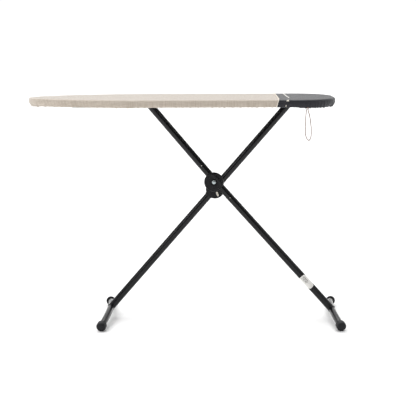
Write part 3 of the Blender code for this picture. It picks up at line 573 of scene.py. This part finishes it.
def at_end(x):
    """0 along the sides, rising to 1 at the nose and at the tail, where the skirt is drawn in harder."""
    nose = 1 - (x - NOSE_X) / 0.16
    tail = 1 - (TAIL_X - x) / 0.11
    share = min(1.0, max(0.0, nose, tail))
    return share * share * (3 - 2 * share)


def cover_section(s):
    """Points down the cover at arc length s, from the start of the edge round to the drawcord's tunnel."""
    x, y, out_x, out_y = RIM.at(s)
    pull = at_end(x)
    base = (0.6 + 1.3 * pull) * MM
    taper = (1.5 + 6.5 * pull) * MM
    sag = 3.0 * MM * GATHERS.bend(s)
    points = []

    def put(inset, z, down, outward, downward):
        lift = GATHERS.height(s, down)
        ripple = 0.3 * MM * noise.noise(Vector((90 * s, 3 * down, 5.0)))
        reach = -inset - base + (lift + ripple) * outward
        drop = lift * downward + sag * down**3
        points.append(Vector((x + out_x * reach, y + out_y * reach, z - drop)))

    edge_z = TABLE_TOP - 0.6 * MM
    for i in range(7):
        turn = math.pi / 2 * i / 6
        put((EDGE_RUN - base) * (1 - math.sin(turn)), edge_z - EDGE_DROP * (1 - math.cos(turn)), 0.0,
            0.12 * (i / 6), 0.0)
    low = SKIRT_BOTTOM + HEM_TURN - 0.4 * MM
    for i in range(1, 9):
        down = i / 8
        z = edge_z - EDGE_DROP + (low - edge_z + EDGE_DROP) * down
        # Below its widest line the cloth wraps in under the rim tube
        under = min(0.9, max(0.0, (WIDEST_Z - z) / (WIDEST_Z - low + 1.0 * MM)))
        wrap = taper * (1 - math.sqrt(1 - under**2)) / (1 - math.sqrt(1 - 0.9**2))
        put(wrap - 0.4 * MM * math.sin(math.pi * down), z, down, 0.12 + 0.5 * down**1.5, 0.3 * down**2)
    for i in range(1, 5):
        turn = math.pi / 2 * i / 4
        put(taper + HEM_TURN * (1 - math.cos(turn)), low - HEM_TURN * math.sin(turn), 1.0,
            0.62 * math.cos(turn), 0.25 + 0.65 * math.sin(turn))
    inner = TUNNEL_INSET - TUNNEL_RADIUS - base
    for i in range(1, 6):
        share = i / 6
        put(taper + HEM_TURN + (inner - HEM_TURN - taper) * share, SKIRT_BOTTOM + (2.2 * share - 0.4) * MM,
            1.0, 0.0, 0.9 - 0.3 * share)
    for i in range(14):
        turn = math.radians(190 + 320 * i / 13)
        pinch = TUNNEL_RADIUS + 0.5 * MM * math.sin(GATHERS.height(s, 1.0) / MM * 2.5)
        put(TUNNEL_INSET - base + pinch * math.cos(turn), TUNNEL_Z + pinch * math.sin(turn), 1.0, 0.0, 0.12)
    return points


def top_section(s, steps=22):
    """Points over the flat top at arc length s, from the edge to the board's middle line."""
    x, y, out_x, out_y = RIM.at(s)
    start = Vector((x - out_x * EDGE_RUN, y - out_y * EDGE_RUN, TABLE_TOP - 0.6 * MM))
    middle = Vector((min(max(x, NOSE_X + 0.10), TAIL_X - TAIL_CORNER), 0.0, TABLE_TOP))
    points = []
    for i in range(1, steps + 1):
        share = (i / steps) ** 1.6
        point = start.lerp(middle, share)
        point.z = TABLE_TOP - 0.6 * MM * math.exp(-(point - start).length / (25 * MM))
        point.z += 0.25 * MM * noise.noise(Vector((9 * point.x, 9 * point.y, 2.0)))
        points.append(point)
    return points


def shifted(point):
    """Moves cloth near the seam along X, so that the seam lies where it is sewn."""
    fall = math.exp(-(((point.x - SEAM_X) / 0.030) ** 2))
    return Vector((point.x + fall * seam_shift(point.y, point.z), point.y, point.z))


def cover_piece(name, first, last, pitch, material, replaced):
    """The cover from one arc length to another, seen from the drawcord's tunnel to the middle line."""
    count = int((last - first) / pitch)
    columns = []
    for i in range(count + 1):
        s = first + (last - first) * i / count
        skirt = cover_section(s)
        columns.append((s, list(reversed(skirt)) + top_section(s)))
    skirt_rows = len(cover_section(first))
    rows = [[shifted(column[r]) for _, column in columns] for r in range(len(columns[0][1]))]
    flat = []
    for s, column in columns:
        x, y, out_x, out_y = RIM.at(s)
        lengths, total = [0.0] * len(column), 0.0
        for r in range(skirt_rows - 2, -1, -1):
            total += (column[r] - column[r + 1]).length
            lengths[r] = total
        flat.append([(x + out_x * (l - EDGE_RUN), y + out_y * (l - EDGE_RUN)) if r < skirt_rows
                     else (column[r].x, column[r].y) for r, l in enumerate(lengths)])
    data = grid_mesh(name, rows, uv=lambda r, c: flat[c][r])
    mend(data, 0.2 * MM)
    return piece(name, data, "board", material, replaced)


def arc_at(x):
    """Arc length of the far side's point at x."""
    return HALF_WIDTH - TAIL_CORNER + TAIL_CORNER * math.pi / 2 + (TAIL_X - TAIL_CORNER - x)


def make_cover():
    far, near = arc_at(SEAM_X), RIM.length - arc_at(SEAM_X)
    pitch = 3.0 * MM
    main = cover_piece("cover_linen", far, near, pitch, LINEN, ["cover_main"])
    heat = cover_piece("cover_charcoal_end", near, far + RIM.length, 2.5 * MM, CHARCOAL,
                       ["cover_heat_zone"])
    board_area, x = 0.0, NOSE_X
    while x < SEAM_X:
        board_area += 2 * half_width_at(x + 1 * MM) * 2 * MM
        x += 2 * MM


def over_board(x, lift, count=60, y_from=-1.0, y_to=1.0):
    """Points over the cover's top at x, from one side (-1) to the other (1), raised by lift."""
    points = []
    for i in range(count + 1):
        y = (y_from + (y_to - y_from) * i / count) * (half_width_at(x) - EDGE_RUN)
        fall = 0.6 * MM * math.exp(-(half_width_at(x) - abs(y)) / 0.025)
        points.append(Vector((x, y, TABLE_TOP + lift - fall)))
    return points


def seam_path(x, lift):
    """A line down the near skirt, over the top and down the far skirt, on the cover's surface."""
    far = cover_section(arc_at(x))[:SKIRT_POINTS]
    near = cover_section(RIM.length - arc_at(x))[:SKIRT_POINTS]
    top = over_board(x, 0.0)
    path = list(reversed(near)) + top[1:-1] + far
    middle = Vector((x, 0.0, SKIRT_BOTTOM + 12 * MM))
    lifted = []
    for p in path:
        away = p - middle
        on_top = abs(p.y) < HALF_WIDTH - EDGE_RUN
        outward = Vector((0.0, away.y * 0.02, away.z)) if on_top else Vector((0, away.y, 0))
        if p.z < SKIRT_BOTTOM + HEM_TURN:
            outward = Vector((0.0, 0.0, -1.0))
        lifted.append(shifted(p + outward.normalized() * lift))
    return lifted


def round_tube(name, path, radius, sides, closed=False):
    """Mesh of a round tube along a path, with rings that turn as little as they can."""
    rows = []
    count = len(path)
    second = None
    for i, place in enumerate(path):
        before = path[i - 1] if i or closed else path[i]
        after = path[(i + 1) % count] if i < count - 1 or closed else path[i]
        third = (Vector(after) - Vector(before)).normalized()
        if second is None:
            second = Vector((0, 1, 0)) if abs(third.y) < 0.9 else Vector((1, 0, 0))
        first = second.cross(third).normalized()
        second = third.cross(first)
        r = radius[i] if isinstance(radius, list) else radius
        rows.append(ring(Vector(place), first, second, r, sides))
    data = grid_mesh(name, rows, closed_rows=True, closed_columns=closed)
    if not closed:
        capped = bmesh.new()
        capped.from_mesh(data)
        capped.verts.ensure_lookup_table()
        capped.faces.new(capped.verts[:sides])
        capped.faces.new(reversed(capped.verts[-sides:]))
        bmesh.ops.recalc_face_normals(capped, faces=capped.faces)
        capped.to_mesh(data)
        capped.free()
        data.shade_smooth()
        data.set_sharp_from_angle(angle=math.radians(40))
    return data


def make_trimmings():
    """Piping over the seam with its stitches, the light stripe of tape and two small tabs on the skirt."""
    path = seam_path(SEAM_X, 0.5 * MM)
    piece("seam_piping", round_tube("seam_piping", path, 1.4 * MM, 10), "board", PIPING)
    stripe = []
    for side in (-1, -0.5, 0, 0.5, 1):
        row = over_board(STRIPE_X, 0.35 * MM, y_from=-0.50, y_to=0.97)
        for point in row:
            across = (0.18 - point.y) / 0.265
            point.x += 3.3 * MM * side * min(1.0, (point.y + 0.10) / 0.03 + 0.15) + 5.5 * MM * across**2
        stripe.append(row)
    data = grid_mesh("heat_zone_stripe", stripe, uv=lambda r, c: (1.3 * MM * r, 5 * MM * c))
    tape = piece("heat_zone_stripe", data, "board", TAPE)
    give_thickness(tape, 0.35 * MM)
    for name, middle, half, first, last, lean in (
        ("tab_triangle", 0.3958, 5.4 * MM, 0.0, 5.5, 2.5 * MM),
        ("tab_tick", 0.3892, 0.9 * MM, 11.5, 14.5, 0.0),
    ):
        rows = []
        for i in range(7):
            share = i / 6
            width = half * (share if name == "tab_triangle" else 1.0) + 0.2 * MM
            row = []
            for j in range(7):
                x = middle + lean * (1 - share) + width * (j / 3 - 1)
                row.append(on_near_skirt(x, first + (last - first) * share) + Vector((0, -0.5, 0.35)) * MM)
            rows.append(row)
        tab = piece(name, grid_mesh(name, rows, uv=lambda r, c: (2 * MM * c, 2 * MM * r)), "board", PIPING)
        give_thickness(tab, 0.5 * MM)
    make_stitches(path)


def on_near_skirt(x, down):
    """The cover's surface at x on the near side, down steps from the start of its edge round."""
    section = cover_section(RIM.length - arc_at(x))
    low = min(int(down), len(section) - 2)
    return section[low].lerp(section[low + 1], down - low)


def make_stitches(path):
    """Lockstitches 4 mm apart along the linen side of the seam."""
    data = bpy.data.meshes.new("seam_stitches")
    made = bmesh.new()
    offset = Vector((-3.6 * MM, 0, 0.1 * MM))
    travelled, due = 0.0, 3 * MM
    for a, b in zip(path[8:-8], path[9:-7]):
        step = (b - a).length
        while due < travelled + step:
            spot = a.lerp(b, (due - travelled) / step) + offset
            turn = frame_along(b - a, Vector((1, 0, 0)))
            place = Matrix.Translation(spot) @ Matrix(turn).transposed().to_4x4()
            shape = place @ Matrix.Diagonal((0.45 * MM, 0.35 * MM, 1.3 * MM, 1.0))
            bmesh.ops.create_icosphere(made, subdivisions=1, radius=1.0, matrix=shape)
            due += 4 * MM
        travelled += step
    made.to_mesh(data)
    made.free()
    data.shade_smooth()
    piece("seam_stitches", data, "board", PIPING)


def give_thickness(obj, thick):
    """Thickens a sheet evenly to both sides."""
    shell = obj.modifiers.new("thickness", "SOLIDIFY")
    shell.thickness = thick
    shell.offset = 0.0


def make_pad():
    """Felt-faced foam pad, soft at its edge."""
    low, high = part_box("foam_pad")
    rows = []
    inset = -low.x + NOSE_X
    profile = [(0.16, 0.0), (0.05, 0.0), (0.012, 0.0), (0.003, 0.0), (0.0008, 0.3), (0.0, 0.6), (0.0008, 0.9),
               (0.003, 1.0), (0.012, 1.0), (0.05, 1.0), (0.16, 1.0)]
    count = 360
    for inward, share in profile:
        row = []
        for i in range(count):
            x, y, out_x, out_y = RIM.at(RIM.length * i / count)
            reach = inset - inward * (1.0 if inward < 0.04 else 0.0)
            point = Vector((x + out_x * reach, y + out_y * reach, low.z + (high.z - low.z) * share))
            if inward > 0.04:
                middle = Vector((min(max(x, NOSE_X + 0.10), TAIL_X - TAIL_CORNER), 0.0, point.z))
                point = point.lerp(middle, 1.0 if inward > 0.1 else 0.45)
            row.append(point)
        rows.append(row)
    data = grid_mesh("pad", rows, closed_rows=True)
    mend(data, 0.2 * MM)
    pad = piece("pad", data, "board", FELT, ["foam_pad"])


def make_mesh_panel():
    """Expanded steel panel: diamonds 20 by 10 mm between strands 2 mm wide, cut to the rim."""
    low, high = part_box("top_panel")
    long_way, short_way, strand = 20 * MM, 10 * MM, 2.2 * MM
    edge = 6 * MM
    data = bpy.data.meshes.new("mesh_panel")
    made = bmesh.new()
    middle_z = (low.z + high.z) / 2
    columns = int((high.x - low.x) / long_way) + 1
    rows = int((high.y - low.y) / short_way) + 1
    for j in range(-rows, rows + 1):
        for i in range(columns + 1):
            x = low.x + (i + (0.5 if j % 2 else 0.0)) * long_way
            y = j * short_way / 2
            ends = (half_width_at(x - long_way / 2), half_width_at(x + long_way / 2))
            if abs(y) > min(ends) - edge:
                continue
            shape = [(long_way / 2, 0), (0, short_way / 2), (-long_way / 2, 0), (0, -short_way / 2)]
            hole = 1 - strand / short_way * 0.9
            outer = [made.verts.new((x + px, y + py, middle_z)) for px, py in shape]
            inner = [made.verts.new((x + px * hole, y + py * hole, middle_z)) for px, py in shape]
            for k in range(4):
                made.faces.new((outer[k], outer[(k + 1) % 4], inner[(k + 1) % 4], inner[k]))
    bmesh.ops.remove_doubles(made, verts=made.verts, dist=0.05 * MM)
    made.to_mesh(data)
    made.free()
    panel = piece("mesh_panel", data, "board", GALVANISED, ["top_panel"])
    give_thickness(panel, high.z - low.z)


def make_rim():
    """The rim tube, round and closed, bent to the outline."""
    low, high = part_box("rim_tube")
    radius = (high.z - low.z) / 2
    inset = low.x - NOSE_X + radius
    count = 420
    path = []
    for i in range(count):
        x, y, out_x, out_y = RIM.at(RIM.length * i / count)
        path.append(Vector((x - out_x * inset, y - out_y * inset, (low.z + high.z) / 2)))
    piece("rim", round_tube("rim", path, radius, 20, closed=True), "board", BLACK_PAINT,
          ["rim_tube"])


# ---------------------------------------------------------------- legs and feet

# 0.5 mm over the part's own tubes, so leg A cuts that far into the hub's rear housing and its bush
LEG_RADIUS = 15.0 * MM
BAR_RADIUS = 13.5 * MM
HUB = Vector((0.1095, 0.0, 0.5845))
BEND_A = Vector((0.089, 0.0, 0.6159))
SLIDER = Vector((-0.1480, 0.0, 0.897))
LEG_B_TOP = Vector((0.4008, 0.0, 0.8818))
LEG_Y = 18 * MM  # leg A stands this far nearer than the middle, leg B this far beyond it


def leg_path(points, step=12 * MM, round_by=30 * MM):
    """A path along the points, with its corners rounded."""
    path = [points[0]]
    for a, b, c in zip(points, points[1:], points[2:]):
        start, end = b + (a - b).normalized() * round_by, b + (c - b).normalized() * round_by
        path += [start.lerp(b, t).lerp(b.lerp(end, t), t) for t in [i / 8 for i in range(9)]]
    path.append(points[-1])
    dense = []
    for a, b in zip(path, path[1:]):
        count = max(1, int((b - a).length / step))
        dense += [a.lerp(b, i / count) for i in range(count)]
    return dense + [path[-1]]


def leg_tube(name, points, y, body, replaced):
    """A leg tube whose lower end is cut to the round of its foot bar, and a bead of weld round the joint."""
    shift = Vector((0, y, 0))
    path = [p + shift for p in leg_path([Vector(p) for p in points])]
    end = path[-1]
    down = (path[-1] - path[-2]).normalized()
    side = Vector((0, 1, 0))
    front = side.cross(down).normalized()
    sides = 48
    turns = [2 * math.pi * k / sides for k in range(sides)]
    rows = []
    for i, place in enumerate(path):
        before, after = path[max(i - 1, 0)], path[min(i + 1, len(path) - 1)]
        run = (after - before).normalized()
        across = side.cross(run).normalized()
        rows.append([place + (across * math.cos(t) + side * math.sin(t)) * LEG_RADIUS for t in turns])
    backs = [math.sqrt(max(BAR_RADIUS**2 - (LEG_RADIUS * math.cos(t)) ** 2, 0.0)) for t in turns]
    rows[-1] = [end - down * back + (front * math.cos(t) + side * math.sin(t)) * LEG_RADIUS
                for t, back in zip(turns, backs)]
    while (rows[-2][0] - end).length < BAR_RADIUS * 1.6:
        rows.pop(-2)
    top = path[0]
    up = (path[0] - path[1]).normalized()
    across = side.cross(up).normalized()
    cap = []
    for radius, rise in ((0.45, 0.9), (0.8, 0.65), (0.95, 0.3)):
        cap.append([top + up * rise * 2 * MM
                    - (across * math.cos(t) - side * math.sin(t)) * LEG_RADIUS * radius for t in turns])
    rows = cap + rows
    data = grid_mesh(name, rows, closed_rows=True)
    closed = bmesh.new()
    closed.from_mesh(data)
    closed.verts.ensure_lookup_table()
    closed.faces.new(closed.verts[:sides])
    bmesh.ops.recalc_face_normals(closed, faces=closed.faces)
    closed.to_mesh(data)
    closed.free()
    data.shade_smooth()
    piece(name, data, body, BLACK_PAINT, replaced)
    draw = random.Random(len(name))
    bead_path = [end - down * back + (front * math.cos(t) + side * math.sin(t)) * (LEG_RADIUS + 0.3 * MM)
                 for t, back in zip(turns, backs)]
    radii = [(1.3 + 0.25 * math.sin(9 * t) + draw.uniform(-0.1, 0.1)) * MM for t in turns]
    piece(name + "_weld", round_tube(name + "_weld", bead_path, radii, 8, closed=True), body, BLACK_PAINT)


def bar_points(node, knee, count=40):
    """Axis of a bowed foot bar and its leg's direction to its middle, for leg A or leg B."""
    bow, half, end_z = 27.5 * MM, 186 * MM, 19.4 * MM
    x = {"leg_a_foot_bar": 0.6028, "leg_b_foot_bar": -0.3288}[node]
    down = (Vector((x, 0, end_z)) - knee).normalized()
    middle = Vector((x, 0, end_z - down.z * bow))
    down = (middle - knee).normalized()
    curve = (half**2 + bow**2) / (2 * bow)
    reach = math.asin(half / curve)
    points = []
    for i in range(-count, count + 1):
        angle = reach * i / count
        points.append(middle + down * curve * (1 - math.cos(angle)) + Vector((0, curve * math.sin(angle), 0)))
    return points, middle, down, reach


def foot_cap(name, end, direction, body, replaced):
    """Moulded cup on a bar's end: a rolled lip, a groove, a rounded nose and a flat worn by the floor."""
    profile = [(13.9, -6.0), (14.3, -12.4), (15.0, -13.0), (18.5, -12.9), (19.4, -12.2), (19.7, -11.2),
               (19.6, -9.8), (19.0, -9.3), (18.9, -8.6), (19.6, -8.0), (19.8, -5.0), (19.8, 4.2)]
    bend = [math.radians(5 + 85 * i / 9) for i in range(10)]
    profile += [(9.8 + 10.0 * math.cos(t), 4.0 + 10.0 * math.sin(t)) for t in bend]
    profile += [(7.0, 14.1), (3.5, 14.15), (0.02, 14.15)]
    first, second, third = frame_along(direction, Vector((1, 0, 0)))
    sides = 56
    rows = []
    for radius, height in profile:
        rows.append(ring(end + third * height * MM, first, second, radius * MM, sides))
    for row in rows:
        for point in row:
            point.z = max(point.z, 0.0)
    data = grid_mesh(name, rows, closed_rows=True)
    mend(data, 0.05 * MM)
    data.shade_smooth()
    data.set_sharp_from_angle(angle=math.radians(38))
    piece(name, data, body, FOOT_VINYL, replaced)


def make_leg(leg, points, knee, y):
    """A leg with its foot bar and the two caps."""
    bar, middle, down, reach = bar_points(f"{leg}_foot_bar", knee)
    leg_tube(f"{leg}_upright", [*points, middle], y, leg, [f"{leg}_tube"])
    piece(f"{leg}_foot_rail", round_tube(f"{leg}_foot_rail", bar, BAR_RADIUS, 44), leg, BLACK_PAINT,
          [f"{leg}_foot_bar"])
    for side, end, outward in (("near", bar[0], -1.0), ("far", bar[-1], 1.0)):
        direction = Vector((0, outward * math.cos(reach), 0)) + down * math.sin(reach)
        foot_cap(f"{leg}_foot_cup_{side}", end, direction, leg, [f"{leg}_foot_cap_{side}"])
    return middle, down


def make_legs():
    upper = (SLIDER - BEND_A).normalized()
    middle, down = make_leg("leg_a", [SLIDER + upper * 12 * MM, BEND_A], BEND_A, -LEG_Y)
    make_label(middle, down)
    make_hub(down)
    down = bar_points("leg_b_foot_bar", LEG_B_TOP)[2]
    make_leg("leg_b", [LEG_B_TOP - down * 13 * MM], LEG_B_TOP, LEG_Y)
    make_collars(down)


def make_label(foot_middle, down):
    """Label of thin film wrapped round the near half of leg A, with rounded corners."""
    length, start, corner, wrap = 65.0 * MM, 130.3 * MM, 16 * MM, math.radians(80)
    top = foot_middle - down * (start + length) + Vector((0, -LEG_Y, 0))
    near = Vector((0, -1, 0))
    side = down.cross(near)
    radius = LEG_RADIUS + 0.35 * MM
    rows, flat = [], []
    for i in range(49):
        u = length * i / 48
        into = corner - min(u, length - u)
        cut = corner - math.sqrt(corner**2 - into**2) if into > 0 else 0.0
        half = wrap - cut / radius
        turns = [half * (j / 12 - 1) for j in range(25)]
        rows.append([top + down * u + (near * math.cos(t) + side * math.sin(t)) * radius for t in turns])
        flat.append([(u, radius * t) for t in turns])
    data = grid_mesh("data_label", rows, uv=lambda r, c: flat[r][c])
    label = piece("data_label", data, "leg_a", LABEL, ["leg_a_label"])
    give_thickness(label, 0.3 * MM)


def soft_step(value):
    """0 below 0, 1 above 1, and a smooth rise between them."""
    share = min(1.0, max(0.0, value))
    return share * share * (3 - 2 * share)


def hub_height(along, across):
    """Height of the front cover over leg A, in mm: rounded rim, groove, bolt recess and ridge beside it."""
    reach = math.hypot(along, across)
    rim = min(1.0, max(0.0, (40.0 - reach) / 4.0))
    height = 6.8 * math.sqrt(1 - (1 - rim) ** 2)
    height -= 1.1 * soft_step((15.5 - reach) / 1.5) * soft_step((reach - 9.6) / 1.0)
    height -= 0.5 * math.exp(-(((reach - 33.0) / 0.8) ** 2))
    off = (across - 18.5) / 10.3
    if abs(off) < 1:
        ridge = 0.5 + 10.3 * math.sqrt(1 - off**2)
        ridge *= soft_step((31 - abs(along)) / 5) * soft_step((40.2 - reach) / 3)
        height = max(height, ridge)
    return height


def make_hub(down):
    """Moulded front cover of the hub, on leg A."""
    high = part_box("hub_front_cover")[1]
    side = Vector((-down.z, 0, down.x))
    centre = Vector((HUB.x, high.y, HUB.z))
    sectors, bore, reach = 120, 4.4, 40.0
    rows = []

    def cover_ring(radius, height=None):
        row = []
        for k in range(sectors):
            turn = 2 * math.pi * k / sectors
            u, v = radius * math.cos(turn), radius * math.sin(turn)
            rise = hub_height(u, v) if height is None else height
            row.append(centre + (down * u + side * v) * MM + Vector((0, -rise * MM, 0)))
        rows.append(row)

    steps = 46
    for i in range(steps + 1):
        cover_ring(bore + (reach - bore) * (1 - (1 - i / steps) ** 1.25))
    cover_ring(reach, 0.0)
    cover_ring(bore, 0.0)
    data = grid_mesh("hub_cover", rows, closed_rows=True, closed_columns=True)
    mend(data)
    data.set_sharp_from_angle(angle=math.radians(45))
    piece("hub_cover", data, "leg_a", BLACK_PLASTIC, ["hub_front_cover"])


def make_collars(down):
    """Rounded collars where leg B enters and leaves the hub's rear housing."""
    start = LEG_B_TOP + Vector((0, LEG_Y, 0))
    lobe = Vector((0.1140, LEG_Y, 0.5480))
    closest = start + down * (lobe - start).dot(down)
    profile = [(14.8, 0.3), (16.6, 0.0), (17.3, 0.8), (17.3, 4.8), (16.7, 5.8), (15.6, 6.2), (14.8, 6.0)]
    for name, way in (("upper", -down), ("lower", down)):
        first, second, third = frame_along(way, Vector((0, 1, 0)))
        rows = []
        for radius, height in profile:
            rows.append(ring(closest + third * (34.0 + height) * MM, first, second, radius * MM, 48))
        data = grid_mesh(f"hub_collar_{name}", rows, closed_rows=True, closed_columns=True)
        data.set_sharp_from_angle(angle=math.radians(50))
        piece(f"hub_collar_{name}", data, "leg_b", BLACK_PLASTIC)


def make_loop():
    """The free cord: a smooth curve through its route's own points."""
    places = [Vector(p) for p in LOOP_ROUTE]
    padded = [2 * places[0] - places[1], *places, 2 * places[-1] - places[-2]]
    path = []
    for i in range(1, len(padded) - 2):
        before, start, end, after = padded[i - 1 : i + 3]
        for step in range(6):
            t = step / 6
            square = (2 * before - 5 * start + 4 * end - after) * t**2
            cube = (3 * start - before - 3 * end + after) * t**3
            path.append(0.5 * (2 * start + (end - before) * t + square + cube))
    path.append(places[-1])
    data = bpy.data.curves.new("drawcord_end_loop", "CURVE")
    data.dimensions = "3D"
    data.bevel_depth = CORD_DIAMETER / 2
    data.bevel_resolution = 4
    data.use_fill_caps = True
    spline = data.splines.new("POLY")
    spline.points.add(len(path) - 1)
    for point, place in zip(spline.points, path):
        point.co = (*place, 1.0)
    spline.use_smooth = True
    loop = piece("drawcord_end_loop", data, "board", CORD, ["drawcord_loop"])
    low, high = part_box("cord_lock")
    middle = (low + high) / 2
    coil = []
    for i in range(43):
        turn = 2 * math.pi * i / 14
        rise = low.z + 1.1 * MM + (high.z - low.z - 2.2 * MM) * i / 42
        x, y = middle.x + 2.7 * MM * math.cos(turn), middle.y + 2.1 * MM * math.sin(turn)
        coil.append(Vector((x, y, rise)))
    knot = piece("drawcord_knot", round_tube("drawcord_knot", coil, 1.15 * MM, 10), "board", CORD,
                 ["cord_lock"])


def finish_scene():
    """Floor and soft studio light: bright behind and above, dimmer on the near side."""
    scene = bpy.context.scene
    scene.view_settings.view_transform = "Standard"
    world = bpy.data.worlds.new("studio")
    scene.world = world
    world.use_nodes = True
    tree = world.node_tree
    sky = tree.nodes["Background"]
    split = node(tree, "ShaderNodeSeparateXYZ", Vector=node(tree, "ShaderNodeTexCoord").outputs["Generated"])
    fade = node(tree, "ShaderNodeMapRange", Value=split.outputs["Y"], From_Min=-0.7, From_Max=0.3,
                To_Min=0.08, To_Max=1.06)
    seen = node(tree, "ShaderNodeLightPath").outputs["Is Camera Ray"]
    level = maths(tree, "MAXIMUM", fade.outputs[0], seen)
    tree.links.new(level, sky.inputs["Strength"])
    sky.inputs["Color"].default_value = (1.0, 1.0, 1.0, 1.0)
    data = bpy.data.meshes.new("floor")
    half = 30.0
    corners = [(-half, -half, 0), (half, -half, 0), (half, half, 0), (-half, half, 0)]
    data.from_pydata(corners, [], [(0, 1, 2, 3)])
    floor = bpy.data.objects.new("floor", data)
    scene.collection.objects.link(floor)
    made, tree, shader = new_material("matt_white_sweep", Roughness=0.9, Specular_IOR_Level=0.0)
    shader.inputs["Base Color"].default_value = (0.90, 0.90, 0.90, 1.0)
    floor.data.materials.append(made)
    sun = bpy.data.lights.new("sky_panel", "SUN")
    sun.energy = 2.6
    sun.angle = math.radians(75)
    lamp = bpy.data.objects.new("sky_panel", sun)
    scene.collection.objects.link(lamp)
    lamp.rotation_euler = (math.radians(-14), math.radians(-8), 0.0)
    for name, place, size, power in (
        ("left_strip", (-1.75, -1.75, 2.15), (0.30, 2.6), 20.0),
        ("right_strip", (2.6, -2.2, 0.9), (0.5, 1.4), 4.0),
    ):
        light = bpy.data.lights.new(name, "AREA")
        light.shape = "RECTANGLE"
        light.size, light.size_y = size
        light.energy = power
        lamp = bpy.data.objects.new(name, light)
        scene.collection.objects.link(lamp)
        lamp.location = place
        lamp.rotation_mode = "QUATERNION"
        # The long side of each strip lies along the near leg it lights
        away = (Vector(place) - Vector((0.1, 0, 0.58))).normalized()
        run = Vector((0.66, 0.0, 0.75)) if name == "left_strip" else Vector((0.0, 0.0, 1.0))
        across = run.cross(away).normalized()
        turn = Matrix((across, away.cross(across), away)).transposed()
        lamp.rotation_quaternion = turn.to_quaternion()


def write_sizes():
    import json


make_camera()
dress_cad_nodes()
make_loop()
make_cover()
make_trimmings()
make_pad()
make_mesh_panel()
make_rim()
make_legs()
finish_scene()
write_sizes()
